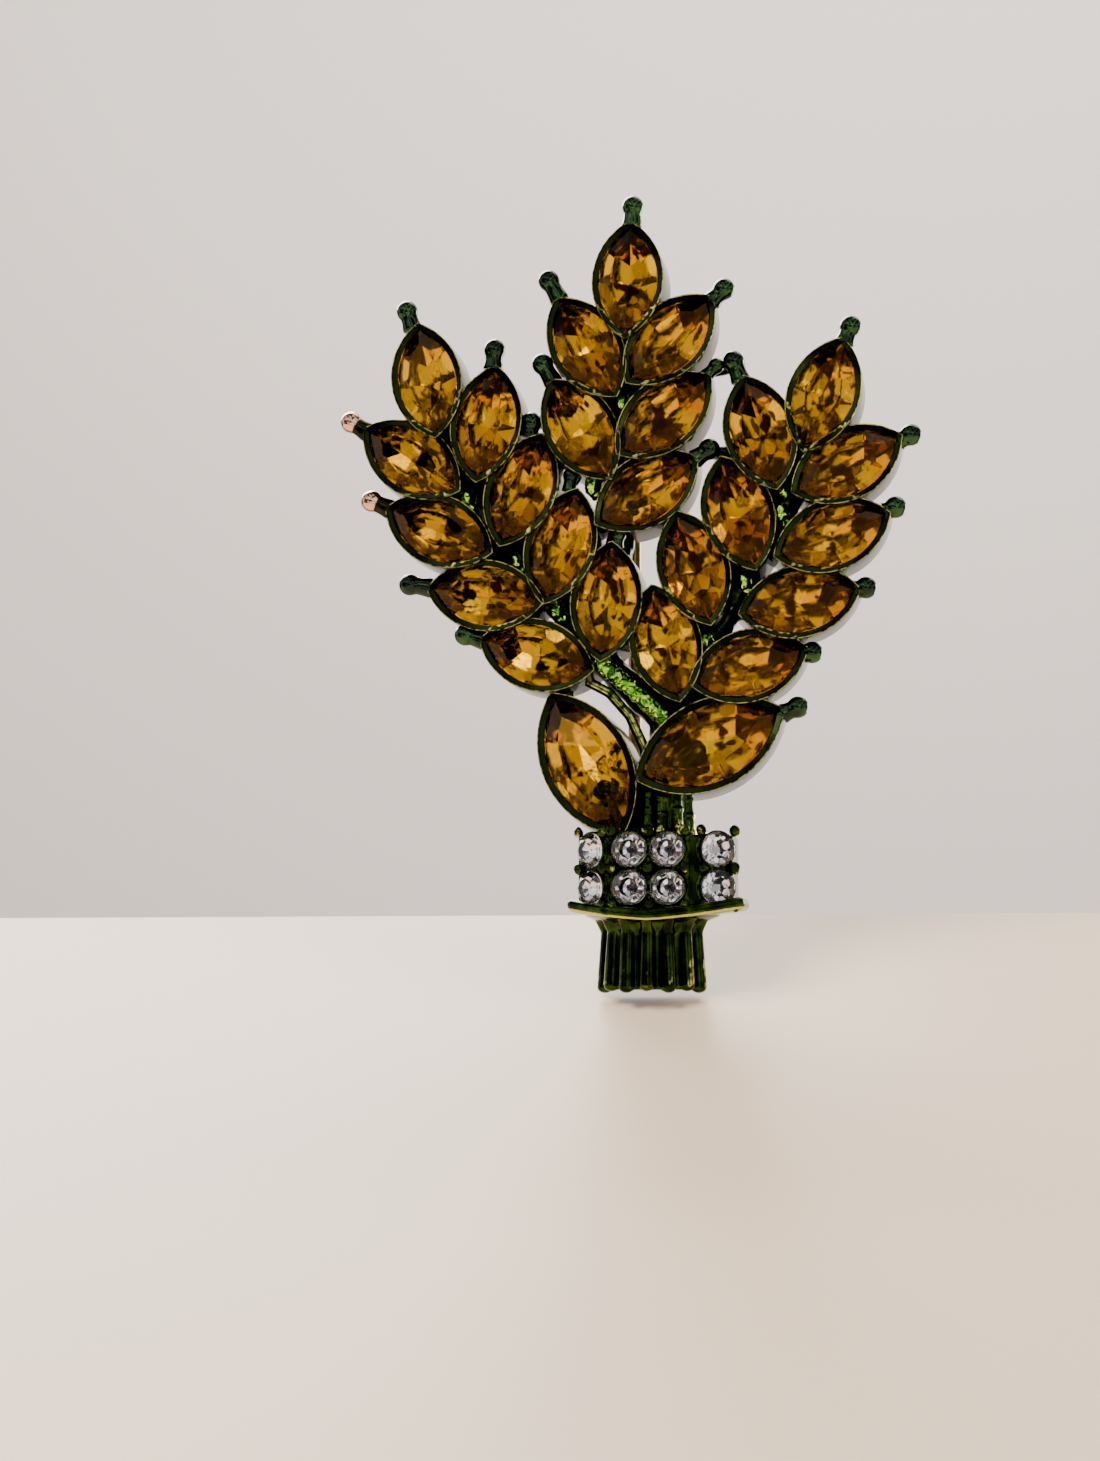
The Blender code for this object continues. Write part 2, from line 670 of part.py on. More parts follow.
def make_catch_body(material):
    """A round shell about the needle's line, open to +Y, on a post and a round base."""
    steps = 18
    start, sweep = CATCH_MOUTH, 2 * math.pi - 2 * CATCH_MOUTH
    angles = [start + sweep * i / steps for i in range(steps + 1)]
    outer = [(-SHELL_RADIUS * math.sin(a), SHELL_RADIUS * math.cos(a)) for a in angles]
    inner = [(-SHELL_BORE * math.sin(a), SHELL_BORE * math.cos(a)) for a in reversed(angles)]
    half = CATCH_LENGTH / 2
    shell = loft([[(x, y, z) for x, y in outer + inner] for z in (-half, half)], "catch_body")
    item = add_object("catch_body", shell, material, Matrix.Translation(CATCH))
    extra = new_collection("catch_body_extra")
    floor = finding_base(extra, "catch_base")
    top = NEEDLE_HEIGHT - SHELL_BORE - CATCH_WALL / 2
    width = POST_WIDTH / 2
    low = (-width, floor - FINDING_BASE / 2, -half + SOLID_GAP)
    add_to(extra, box(low, (width, top, half - SOLID_GAP), "catch_post"))
    for shape in extra.objects:
        shape.matrix_world = Matrix.Translation((CATCH.x, 0, CATCH.z)) @ shape.matrix_world
    boolean(item, "UNION", extra)


def make_catch_lock(material):
    """The turning lock: a slotted sleeve with a rim at each end and a lever. Rest is open."""
    half = CATCH_LENGTH / 2 + SOLID_GAP + RUNNING_GAP
    end = half + LOCK_FLANGE
    rim = SHELL_RADIUS - CATCH_WALL / 3
    profile = [(rim, -end), (rim, -half), (LOCK_RADIUS, -half), (LOCK_RADIUS, half), (rim, half), (rim, end)]
    sleeve = turned(profile, 24, "catch_lock")
    item = add_object("catch_lock", sleeve, material, Matrix.Translation(CATCH))
    lever = new_collection("catch_lock_lever")
    cuts = new_collection("catch_lock_cuts")
    thick = LOCK_LEVER_THICKNESS / 2
    tall = CATCH_LENGTH / 2 - RUNNING_GAP
    bar = box((-thick, LOCK_BORE + LOCK_WALL / 2, -tall), (thick, LOCK_LEVER, tall), "lever")
    turn = Matrix.Rotation(-LOCK_LEVER_ANGLE, 4, "Z")
    add_to(lever, bar, Matrix.Translation(CATCH) @ turn)
    past = end + CATCH_WALL
    add_to(cuts, turned([(LOCK_BORE, -past), (LOCK_BORE, past)], 16, "bore"), Matrix.Translation(CATCH))
    slot = NEEDLE_RADIUS + RUNNING_GAP * 1.5
    mouth = box((-slot, 0, -past), (slot, SHELL_RADIUS + CATCH_WALL, past), "slot")
    add_to(cuts, mouth, Matrix.Translation(CATCH))
    boolean(item, "UNION", lever)
    boolean(item, "DIFFERENCE", cuts)


def main():
    clear_scene()
    metal = make_material("antiqued_casting", CASTING_COLOUR, 0.8, 0.35)
    amber = make_material("amber_glass", AMBER, 0.0, 0.08)
    clear = make_material("clear_glass", CLEAR, 0.0, 0.05)
    wire = make_material("pin_metal", WIRE_COLOUR, 1.0, 0.3)
    stones = settings()
    seats = band_seats()
    make_casting(stones, seats, metal)
    make_stones(stones, seats, amber, clear)
    make_pin_joint(wire)
    make_rivet(wire)
    make_pin_stem(wire)
    make_catch_body(wire)
    make_catch_lock(wire)
    bpy.context.view_layer.update()


main()
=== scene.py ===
# %% [markdown]
# # A wheat-sheaf brooch, modelled and finished in Blender
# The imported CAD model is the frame: it says where each stone, the band and the pin sit. This lesson
# builds the looks around it, one kind of piece at a time, with the tools used when modelling by hand.

# %% Load the frame
import math

import bpy
from mathutils import Matrix, Vector, noise


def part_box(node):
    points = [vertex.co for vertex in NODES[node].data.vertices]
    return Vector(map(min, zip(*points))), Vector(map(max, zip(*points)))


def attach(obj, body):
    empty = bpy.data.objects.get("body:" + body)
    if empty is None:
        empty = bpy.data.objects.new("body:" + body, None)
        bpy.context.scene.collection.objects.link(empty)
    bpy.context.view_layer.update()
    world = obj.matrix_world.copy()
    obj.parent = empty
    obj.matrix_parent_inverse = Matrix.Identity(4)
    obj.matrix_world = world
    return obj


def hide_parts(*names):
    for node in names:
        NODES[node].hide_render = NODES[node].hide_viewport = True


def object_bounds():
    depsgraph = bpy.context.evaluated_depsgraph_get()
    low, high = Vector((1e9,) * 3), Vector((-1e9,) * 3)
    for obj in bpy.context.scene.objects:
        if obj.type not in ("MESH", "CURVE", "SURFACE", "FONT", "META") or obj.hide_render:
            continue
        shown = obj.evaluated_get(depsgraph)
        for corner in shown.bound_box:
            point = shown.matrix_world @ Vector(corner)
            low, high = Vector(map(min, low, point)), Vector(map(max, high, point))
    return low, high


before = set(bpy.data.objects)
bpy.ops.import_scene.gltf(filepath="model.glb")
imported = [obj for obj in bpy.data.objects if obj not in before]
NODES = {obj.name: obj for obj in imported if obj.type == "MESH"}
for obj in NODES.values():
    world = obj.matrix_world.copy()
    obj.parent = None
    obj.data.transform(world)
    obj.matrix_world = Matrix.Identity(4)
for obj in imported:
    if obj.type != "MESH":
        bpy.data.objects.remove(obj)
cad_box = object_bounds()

MM = 0.001
print("nodes:", len(NODES), "box in mm:", [round(v / MM, 1) for corner in cad_box for v in corner])

# %% [markdown]
# ## Small helpers for modelling by script
# An operator acts on what is selected, so each step starts by selecting one piece, and inside edit
# mode the faces are picked by where they are or which way they look.

# %% Selecting, picking and finishing
def only(piece):
    """Leaves edit mode and selects just this piece."""
    if bpy.context.object and bpy.context.object.mode != "OBJECT":
        bpy.ops.object.mode_set(mode="OBJECT")
    bpy.ops.object.select_all(action="DESELECT")
    if piece:
        piece.select_set(True)
        bpy.context.view_layer.objects.active = piece
    return piece


def edit(piece, test=None):
    """Enters edit mode with the faces selected that pass the test, or with everything selected."""
    only(piece)
    bpy.ops.object.mode_set(mode="EDIT")
    bpy.ops.mesh.select_mode(type="FACE")
    bpy.ops.mesh.select_all(action="DESELECT" if test else "SELECT")
    if test:
        bpy.ops.object.mode_set(mode="OBJECT")
        for face in piece.data.polygons:
            face.select = bool(test(face))
        bpy.ops.object.mode_set(mode="EDIT")
    return piece


def named(name):
    """Ends the work on the active piece: its place goes into its mesh, and it gets its name."""
    piece = bpy.context.object
    only(piece)
    bpy.ops.object.transform_apply(location=True, rotation=True, scale=True)
    piece.name = piece.data.name = name
    return piece


def modify(piece, kind, **settings):
    """Adds a modifier with these settings and applies it."""
    only(piece)
    modifier = piece.modifiers.new(kind.title(), kind)
    for key, value in settings.items():
        setattr(modifier, key, value)
    bpy.ops.object.modifier_apply(modifier=modifier.name)
    return piece


def copy_of(piece, name, matrix=None):
    """A copy with its own mesh, moved into place."""
    twin = piece.copy()
    twin.data = piece.data.copy()
    twin.name = twin.data.name = name
    bpy.context.scene.collection.objects.link(twin)
    if matrix:
        twin.data.transform(matrix)
        twin.data.update()
    return twin


def drop(*masters):
    for master in masters:
        bpy.data.objects.remove(master)


def join(pieces, name):
    only(pieces[0])
    for piece in pieces:
        piece.select_set(True)
    bpy.ops.object.join()
    return named(name)


def smooth(piece, angle=35):
    only(piece)
    bpy.ops.object.shade_smooth_by_angle(angle=math.radians(angle))
    return piece


FINE = 0.0005 * MM  # merge distance for small parts


def cut(point, normal, fill=True):
    """In edit mode, bisects what is selected and clears the normal's side."""
    bpy.ops.mesh.bisect(
        plane_co=point, plane_no=normal, use_fill=fill, clear_outer=True, threshold=FINE
    )


def extrude(move, size=None):
    """In edit mode, extrudes what is selected and, if asked, resizes the new part."""
    bpy.ops.mesh.extrude_region_move(TRANSFORM_OT_translate={"value": move})
    if size:
        bpy.ops.transform.resize(value=size)


def slice_off(piece, point, normal):
    """Cuts away what lies on the normal's side of a plane, and closes the cut."""
    edit(piece)
    cut(point, normal)
    bpy.ops.object.mode_set(mode="OBJECT")


def heal(piece):
    """In edit mode, merges doubles and turns the normals out, then leaves edit mode."""
    bpy.ops.mesh.select_all(action="SELECT")
    bpy.ops.mesh.remove_doubles(threshold=FINE)
    bpy.ops.mesh.normals_make_consistent(inside=False)
    return only(piece)


def push(piece, test, *steps):
    """Extrudes the faces that pass the test, in steps of (move, resize)."""
    edit(piece, test)
    for step in steps:
        extrude(*step)
    return only(piece)


def block(name, middle, size):
    """A plain block, from its middle and its size along X, Y and Z."""
    only(None)
    bpy.ops.mesh.primitive_cube_add(size=1, location=middle)
    bpy.context.object.scale = size
    return named(name)


def tell(piece):
    print(f"{piece.name}: {len(piece.data.polygons)} faces")
    return piece


# %% [markdown]
# ## The camera comes first
# The brooch is seen from a little to its right and from slightly below its middle, close enough for
# the far ends to shrink. The view is aimed left of the brooch and above the band, because the
# brooch stands right of the middle of the frame.

# %% Camera
BAND_MIDDLE = (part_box("band_stone_lower_2")[0].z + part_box("band_stone_upper_2")[1].z) / 2
AZIMUTH, ELEVATION = math.radians(9.6), math.radians(-5.3)
DISTANCE = 200 * MM
LENS = 72.7
AIM = Vector((-7.0 * MM, 0, BAND_MIDDLE + 9.6 * MM))
back = Vector((
    math.sin(AZIMUTH) * math.cos(ELEVATION),
    -math.cos(AZIMUTH) * math.cos(ELEVATION),
    math.sin(ELEVATION),
))
only(None)
bpy.ops.object.camera_add(location=AIM + back * DISTANCE)
camera = bpy.context.object
camera.rotation_mode = "QUATERNION"
camera.rotation_quaternion = (-back).to_track_quat("-Z", "Y")
camera.data.lens = LENS
camera.data.clip_start = 0.005
bpy.context.scene.camera = camera
print("camera at mm:", [round(v / MM) for v in camera.location])

# %% [markdown]
# ## Node helpers
# A material is a small circuit, and so is the light of the room. These helpers add a node, wire a
# socket to a node or give it a value.

# %% Node helpers
def put(tree, kind, **values):
    """Adds a node. A value that is a socket is wired, any other value is set."""
    node = tree.nodes.new(kind)
    for key, value in values.items():
        if key in node.inputs:
            wire(tree, value, node.inputs[key])
        else:
            setattr(node, key, value)
    return node


def wire(tree, value, socket):
    if isinstance(value, bpy.types.NodeSocket):
        tree.links.new(value, socket)
    else:
        socket.default_value = value


def blend(tree, share, first, second):
    """Mixes two colours, or a socket's colours."""
    node = tree.nodes.new("ShaderNodeMix")
    node.data_type = "RGBA"
    for index, value in ((0, share), (6, first), (7, second)):
        wire(tree, value, node.inputs[index])
    return node.outputs[2]


def remap(tree, value, low, high, start=0.0, end=1.0):
    node = put(tree, "ShaderNodeMapRange", interpolation_type="SMOOTHSTEP")
    for socket, item in zip(node.inputs, (value, low, high, start, end)):
        wire(tree, item, socket)
    return node.outputs[0]


def math_node(tree, operation, first, second):
    node = tree.nodes.new("ShaderNodeMath")
    node.operation = operation
    wire(tree, first, node.inputs[0])
    wire(tree, second, node.inputs[1])
    return node.outputs[0]


def noise_on(tree, scale, detail=3.0, stretch=(1, 1, 1)):
    """Noise in object space, in grains per metre."""
    place = put(tree, "ShaderNodeTexCoord").outputs["Object"]
    mapping = put(tree, "ShaderNodeMapping", Vector=place, Scale=stretch)
    node = put(tree, "ShaderNodeTexNoise", Vector=mapping.outputs[0], Scale=scale, Detail=detail)
    return node.outputs["Fac"]


def new_group(name, inputs, outputs):
    """A shader node group with named sockets: (name, kind, value)."""
    tree = bpy.data.node_groups.new(name, "ShaderNodeTree")
    for label, kind, value in inputs:
        socket = tree.interface.new_socket(name=label, in_out="INPUT", socket_type=kind)
        socket.default_value = value
    for label, kind in outputs:
        tree.interface.new_socket(name=label, in_out="OUTPUT", socket_type=kind)
    return tree, tree.nodes.new("NodeGroupInput").outputs, tree.nodes.new("NodeGroupOutput").inputs


def use_group(tree, group, **values):
    node = tree.nodes.new("ShaderNodeGroup")
    node.node_tree = group
    for key, value in values.items():
        wire(tree, value, node.inputs[key.replace("_", " ")])
    return node.outputs


def new_finish(name, **values):
    """A material with its Principled shader's plain values set."""
    material = bpy.data.materials.new(name)
    material.use_nodes = True
    shader = material.node_tree.nodes["Principled BSDF"]
    for key, value in values.items():
        shader.inputs[key.replace("_", " ")].default_value = value
    return material, material.node_tree, shader


# %% [markdown]
# ## Stage and light
# The brooch stands leaning back, so in its own upright frame the floor tilts: it is a pale sheet
# that ends just behind the foot, with a pale wall far behind. Bright soft boxes with dark room
# between them give the cut glass its sparkle, and enamel its sharp highlights.

# %% Floor, wall and lights
LEAN = math.radians(24)
FOOT = cad_box[0].z
pale_floor = new_finish("pale_floor", Base_Color=(0.61, 0.46, 0.32, 1), Roughness=0.45)[0]
pale_wall = new_finish("pale_wall", Base_Color=(0.62, 0.55, 0.505, 1), Roughness=0.8)[0]
only(None)
bpy.ops.mesh.primitive_plane_add(size=1)
floor = bpy.context.object
floor.scale = (0.7, 0.35, 1)
bpy.ops.object.transform_apply(scale=True)
floor.data.transform(Matrix.Translation((0, -0.175 + 0.014, 0)))
floor.data.transform(Matrix.Translation((0, 0, FOOT)) @ Matrix.Rotation(LEAN, 4, "X"))
floor.name = "floor"
floor.data.materials.append(pale_floor)
bpy.ops.mesh.primitive_plane_add(size=3, location=(0, 0.9, 0.3), rotation=(math.radians(90), 0, 0))
wall = named("wall")
wall.data.materials.append(pale_wall)

# %% [markdown]
# A plain even sky would make cut glass look flat. So reflections see a room with soft bright
# and dark parts, made of noise on the view's direction, and only the backdrop itself is even.

# %% Room light
world = bpy.data.worlds.new("room")
bpy.context.scene.world = world
world.use_nodes = True
room = world.node_tree
NOISE_RANGE, ROOM_STRENGTH = (0.47, 0.58), (0.006, 1.05)
BACKDROP_STRENGTH = 0.72
direction = put(room, "ShaderNodeTexCoord").outputs["Generated"]
clouds = put(room, "ShaderNodeTexNoise", Vector=direction, Scale=2.6, Detail=1.0)
contrast = room.nodes.new("ShaderNodeMapRange")
for socket, value in zip(contrast.inputs, (clouds.outputs["Fac"], *NOISE_RANGE, *ROOM_STRENGTH)):
    wire(room, value, socket)
seen = put(room, "ShaderNodeLightPath").outputs["Is Camera Ray"]
strength = put(room, "ShaderNodeMix", Factor=seen, A=contrast.outputs[0], B=BACKDROP_STRENGTH)
backdrop = room.nodes["Background"]
backdrop.inputs["Color"].default_value = (0.98, 0.95, 0.92, 1)
wire(room, strength.outputs["Result"], backdrop.inputs["Strength"])
print("room light from", len(room.nodes), "nodes")


# %% Soft boxes
def soft_box(name, place, target, size, power, colour=(1, 1, 1), mirrored=True):
    """A rectangular lamp. One that isn't mirrored lights the room but leaves no glare in glass."""
    data = bpy.data.lights.new(name, "AREA")
    data.shape = "RECTANGLE"
    data.size, data.size_y = size
    data.energy = power
    data.color = colour
    lamp = bpy.data.objects.new(name, data)
    bpy.context.scene.collection.objects.link(lamp)
    lamp.location = place
    lamp.visible_glossy = lamp.visible_transmission = mirrored
    lamp.rotation_mode = "QUATERNION"
    lamp.rotation_quaternion = (Vector(target) - Vector(place)).to_track_quat("-Z", "Y")
    return lamp


MIDDLE = (cad_box[0] + cad_box[1]) / 2
soft_box("key_box", (-0.24, -0.36, 0.40), MIDDLE, (0.34, 0.24), 6.5, (1, 0.98, 0.94), False)
soft_box("side_box", (0.38, -0.20, 0.14), MIDDLE, (0.12, 0.30), 1.6, (1, 0.97, 0.93), False)
soft_box("shine_left", (-0.16, -0.40, 0.24), MIDDLE, (0.10, 0.14), 0.085)
soft_box("shine_right", (0.24, -0.34, 0.20), MIDDLE, (0.06, 0.16), 0.055)
soft_box("shine_low", (0.05, -0.40, -0.10), MIDDLE, (0.26, 0.06), 0.09, (1, 0.96, 0.88))
soft_box("spark_left", (-0.10, -0.42, 0.12), MIDDLE, (0.03, 0.03), 0.03)
soft_box("spark_right", (0.15, -0.40, 0.10), MIDDLE, (0.03, 0.04), 0.03)
soft_box("wall_box", (0, 0.25, 0.6), (0, 0.9, 0.2), (0.9, 0.3), 15.0, (1, 0.97, 0.95))
soft_box("back_box", (-0.25, 0.40, 0.38), MIDDLE, (0.4, 0.4), 6.0)
soft_box("back_low_box", (0.3, 0.35, 0.02), MIDDLE, (0.2, 0.3), 2.0)

# %% [markdown]
# ## Where the stones sit
# Each CAD stone is a simple solid, but it already holds the exact place and turn of the real one.
# Its table is the largest flat at its front, and its two tips are the points farthest apart. The
# casting leans each stone back a little towards its outer tip, so the outer tip is the rear one.

# %% Read each stone's seat from its CAD solid
def table_way(mesh):
    """The way a stone's table looks: at the front, most of the flat area faces that way."""
    faces = [face for face in mesh.polygons if face.normal.y < 0]

    def flat_area(face):
        return sum(other.area for other in faces if other.normal.dot(face.normal) > 0.9999)

    return max(faces, key=flat_area).normal.copy()


def seat_of(node):
    """A stone's own frame: +X to the outer tip, +Z out of the stone, origin under its edge."""
    mesh = NODES[node].data
    points = [v.co.copy() for v in mesh.vertices]
    out = table_way(mesh)
    along = Vector((0, 0, 1))
    if not node.startswith("band"):
        start = max(points, key=lambda p: (p - points[0]).length)
        end = max(points, key=lambda p: (p - start).length)
        along = end - start
        along = (along - out * along.dot(out)).normalized()
        if along.y < 0:
            along.negate()
    side = out.cross(along)
    reach = max(p.dot(along) for p in points)
    edge = min(p.dot(out) for p in points if p.dot(along) > reach - 0.001 * MM)
    low, high = (Vector(f(p.dot(way) for p in points) for way in (along, side)) for f in (min, max))
    middle = (low + high) / 2
    centre = along * middle.x + side * middle.y + out * edge
    return Matrix.Translation(centre) @ Matrix((along, side, out)).transposed().to_4x4()


GRAINS = sorted(name for name in NODES if name.startswith("grain_stone"))
LEAVES = sorted(name for name in NODES if name.startswith("leaf_stone"))
ROUNDS = sorted(name for name in NODES if name.startswith("band_stone"))
SEATS = {name: seat_of(name) for name in GRAINS + LEAVES + ROUNDS}
for name in (GRAINS[0], LEAVES[0], ROUNDS[0]):
    print(name, "seat in mm:", [round(v / MM, 2) for v in SEATS[name].translation])

# %% [markdown]
# ## Cutting the stones
# A glass stone is pressed and ground flat by flat. The same is done here: a pointed oval is what
# two round plates share, so one round plate is cut along its middle and mirrored. Then each facet
# is one bisect cut, with its slope, as a lapidary sets it. The steep facets beside the edge are
# twice as many as the main ones, and that is what makes a navette or a brilliant sparkle.

# %% Stone sizes
GRAIN = dict(length=7.3 * MM, width=4.0 * MM, crown=0.95 * MM, depth=1.72 * MM)
LEAF = dict(length=9.8 * MM, width=5.0 * MM, crown=1.1 * MM, depth=1.82 * MM)
ROUND = dict(length=2.3 * MM, width=2.3 * MM, crown=0.64 * MM, depth=0.77 * MM)
EDGE = 0.22 * MM  # thickness of any stone's edge
CROWN_SLOPE, EDGE_SLOPE, STAR_SLOPE = (math.radians(a) for a in (38, 49, 21))
KEEL_SLOPE, UNDER_SLOPE = math.radians(40), math.radians(50)


def arc_of(size):
    """Radius of a pointed oval's two arcs, how far each centre lies past the middle, half angle."""
    length, width = size["length"], size["width"]
    radius = (length**2 + width**2) / (4 * width)
    inset = radius - width / 2
    return radius, inset, math.acos(inset / radius)


def pointed_plate(name, size, grow, low, high, sides=72):
    """A pointed-oval plate: half of what two round plates share, mirrored."""
    radius, inset, _ = arc_of(size)
    only(None)
    bpy.ops.mesh.primitive_cylinder_add(
        vertices=sides, radius=radius + grow, depth=high - low, location=(0, -inset, (low + high) / 2)
    )
    plate = named(name)
    edit(plate)
    cut((0, 0, 0), (0, -1, 0), fill=False)
    modify(plate, "MIRROR", use_axis=(False, True, False), merge_threshold=FINE)
    for sign in (1, -1):
        edit(plate, lambda face: face.normal.z * sign > 0.9)
        bpy.ops.mesh.dissolve_faces()
    edit(plate)
    bpy.ops.mesh.normals_make_consistent(inside=False)
    return only(plate)


def grind(stone, places, slope, depth, height, down=False):
    """Cuts a facet at each place round the edge: (point on the edge, way out)."""
    sign = -1 if down else 1
    for point, out in places:
        plane = out * math.sin(slope) + Vector((0, 0, sign * math.cos(slope)))
        bpy.ops.mesh.select_all(action="SELECT")
        cut(point - out * depth + Vector((0, 0, height)), plane)


def edge_places(size, count, shift=0.5):
    """Places for facets, evenly round both arcs of a pointed stone or round a round one."""
    if size["length"] == size["width"]:
        turns = [2 * math.pi * (i + shift) / (2 * count) for i in range(2 * count)]
        ways = [Vector((math.cos(a), math.sin(a), 0)) for a in turns]
        return [(way * size["width"] / 2, way) for way in ways]
    radius, inset, half = arc_of(size)
    places = []
    for side in (1, -1):
        for i in range(count):
            turn = half * (2 * (i + shift) / count - 1)
            out = Vector((math.sin(turn), side * math.cos(turn), 0))
            places.append((out * radius - Vector((0, side * inset, 0)), out))
    return places


def cut_stone(name, size):
    """A whole stone: the edge lies from 0 to EDGE, the table at the crown's height."""
    if size["length"] == size["width"]:
        only(None)
        low, high = -size["depth"], size["crown"]
        bpy.ops.mesh.primitive_cylinder_add(
            vertices=48, radius=size["width"] / 2, depth=high - low, location=(0, 0, (low + high) / 2)
        )
        stone = named(name)
    else:
        stone = pointed_plate(name, size, 0, -size["depth"], size["crown"])
    run = (size["crown"] - EDGE) / math.tan(CROWN_SLOPE)
    edit(stone)
    grind(stone, edge_places(size, 4), CROWN_SLOPE, 0, EDGE)
    grind(stone, edge_places(size, 8), EDGE_SLOPE, 0, EDGE)
    grind(stone, edge_places(size, 4, 0), STAR_SLOPE, run * 0.98, size["crown"])
    grind(stone, edge_places(size, 4), KEEL_SLOPE, 0, 0, down=True)
    grind(stone, edge_places(size, 8), UNDER_SLOPE, 0, 0, down=True)
    heal(stone)
    bpy.ops.object.shade_flat()
    return tell(stone)


# %% Cut one stone of each kind
grain_master = cut_stone("grain_master", GRAIN)
leaf_master = cut_stone("leaf_master", LEAF)
round_master = cut_stone("round_master", ROUND)

# %% [markdown]
# ## Shared effects
# Effects that several finishes share are node groups, built once. Rubbed edges, casting grain and
# dust are wanted on every metal piece. Rubbed edges follow a value that the modelling leaves on the
# mesh: 1 on a lip or a ridge, 0 in the hollows. On the bundles' ridges and the flange's lower edge
# that value is also painted highlight: pale gold where the glossy metal would catch the light.

# %% Shared effects as node groups
FLOAT = "NodeSocketFloat"

rubbed_and_highlight, take, give = new_group(
    "Rubbed Edges And Highlights", [("Breakup Scale", FLOAT, 2500.0), ("Breakup", FLOAT, 0.5)], [("Mask", FLOAT)]
)
# This mask is rubbed gold on lips, and painted highlight on the bundles' ridges and the flange's lower
# edge.
wear_and_highlight = put(rubbed_and_highlight, "ShaderNodeAttribute", attribute_name="wear_and_highlight").outputs["Fac"]
patchy = math_node(rubbed_and_highlight, "SUBTRACT", noise_on(rubbed_and_highlight, take["Breakup Scale"]), 0.5)
patchy = math_node(rubbed_and_highlight, "MULTIPLY", patchy, take["Breakup"])
wire(rubbed_and_highlight, remap(rubbed_and_highlight, math_node(rubbed_and_highlight, "ADD", wear_and_highlight, patchy), 0.42, 0.62), give["Mask"])

grain_effect, take, give = new_group(
    "Casting Grain", [("Scale", FLOAT, 6000.0)], [("Height", FLOAT), ("Tone", FLOAT)]
)
fine = noise_on(grain_effect, take["Scale"], detail=4.0)
broad = noise_on(grain_effect, 900.0, detail=2.0)
wire(grain_effect, math_node(grain_effect, "MULTIPLY", fine, broad), give["Height"])
wire(grain_effect, remap(grain_effect, broad, 0.35, 0.65), give["Tone"])

dust, take, give = new_group("Settled Dust", [("Amount", FLOAT, 0.1)], [("Mask", FLOAT)])
normal = put(dust, "ShaderNodeNewGeometry").outputs["Normal"]
upward = put(dust, "ShaderNodeSeparateXYZ", Vector=normal).outputs["Z"]
specks = remap(dust, noise_on(dust, 4200.0, detail=5.0), 0.5, 0.75)
dusty = math_node(dust, "MULTIPLY", math_node(dust, "MULTIPLY", specks, take["Amount"]),
                  remap(dust, upward, 0.1, 0.9))
wire(dust, dusty, give["Mask"])
print("groups:", [group.name for group in bpy.data.node_groups])

# %% [markdown]
# ## Glass and foil
# The stones are clear coloured glass with a foil painted on the back facets. So the crown gets a
# glass finish, and the facets below the edge get a metal one that light meets through the glass.
# The foil has darker and brighter patches, where it is thin or has come away. The amber glass bends
# light less than real glass and its reflections are tinted amber: plain ones would lay the pale
# floor and wall over the stones as grey patches.

# %% Amber and clear glass with foil backs
def make_glass(name, tint, deep, index, shine):
    """Glass whose tint has faint streaks. The shine is the tint of its reflections."""
    material, tree, shader = new_finish(name, Transmission_Weight=1.0, IOR=index, Specular_Tint=shine)
    streaks = noise_on(tree, 420.0, 3.0, (1, 0.4, 0.5))
    wire(tree, blend(tree, remap(tree, streaks, 0.35, 0.7), tint, deep), shader.inputs["Base Color"])
    smears = noise_on(tree, 1500.0, 4.0)
    wire(tree, remap(tree, smears, 0.5, 0.8, 0.0, 0.08), shader.inputs["Roughness"])
    return material


def make_foil(name, bright, warm, dark, share):
    """Metal foil: each facet has its own tone, and thin spots are dark."""
    material, tree, shader = new_finish(name, Metallic=1.0)
    facet = put(tree, "ShaderNodeAttribute", attribute_name="facet").outputs["Fac"]
    drift = noise_on(tree, 260.0, 1.0)
    tone = math_node(tree, "ADD", facet, math_node(tree, "SUBTRACT", drift, 0.5))
    tones = blend(tree, remap(tree, tone, 0.35, 0.75), warm, bright)
    spots = math_node(tree, "ADD", noise_on(tree, 700.0, 2.0), math_node(tree, "MULTIPLY", facet, -0.25))
    dark_mask = remap(tree, spots, 0.80 - share, 0.88 - share)
    wire(tree, blend(tree, dark_mask, tones, dark), shader.inputs["Base Color"])
    crinkle = noise_on(tree, 3800.0, 3.0)
    wire(tree, remap(tree, crinkle, 0.3, 0.7, 0.04, 0.14), shader.inputs["Roughness"])
    bump = put(tree, "ShaderNodeBump", Height=crinkle, Strength=0.15, Distance=0.01 * MM)
    wire(tree, bump.outputs[0], shader.inputs["Normal"])
    return material


AMBER_INDEX, CLEAR_INDEX = 1.40, 1.50
AMBER_SHINE, WHITE = (1.0, 0.50, 0.06, 1), (1.0, 1.0, 1.0, 1)
amber_glass = make_glass(
    "amber_glass", (1.0, 0.61, 0.0, 1), (0.95, 0.50, 0.0, 1), AMBER_INDEX, AMBER_SHINE)
gold_foil = make_foil(
    "gold_foil", (0.80, 0.72, 0.12, 1), (0.45, 0.25, 0.03, 1), (0.03, 0.006, 0.001, 1), 0.43)
clear_glass = make_glass("clear_glass", WHITE, (0.97, 0.98, 0.98, 1), CLEAR_INDEX, WHITE)
silver_foil = make_foil(
    "silver_foil", WHITE, (0.92, 0.86, 0.93, 1), (0.04, 0.045, 0.04, 1), 0.26)

# %% Copy the stones into their seats
def set_stones(names, master, glass, foil):
    """One copy of the master for each seat, glass above its edge and foil below."""
    master.data.materials.append(glass)
    master.data.materials.append(foil)
    facet = master.data.attributes.new("facet", "FLOAT", "FACE")
    for face, item in zip(master.data.polygons, facet.data):
        face.material_index = 1 if face.normal.z < -0.1 else 0
        item.value = 0.5 + noise.noise(face.normal * 7.3)
    for node in names:
        stone = copy_of(master, node.replace("stone", "glass"), SEATS[node])
        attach(stone, "root")
        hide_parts(node)
    drop(master)


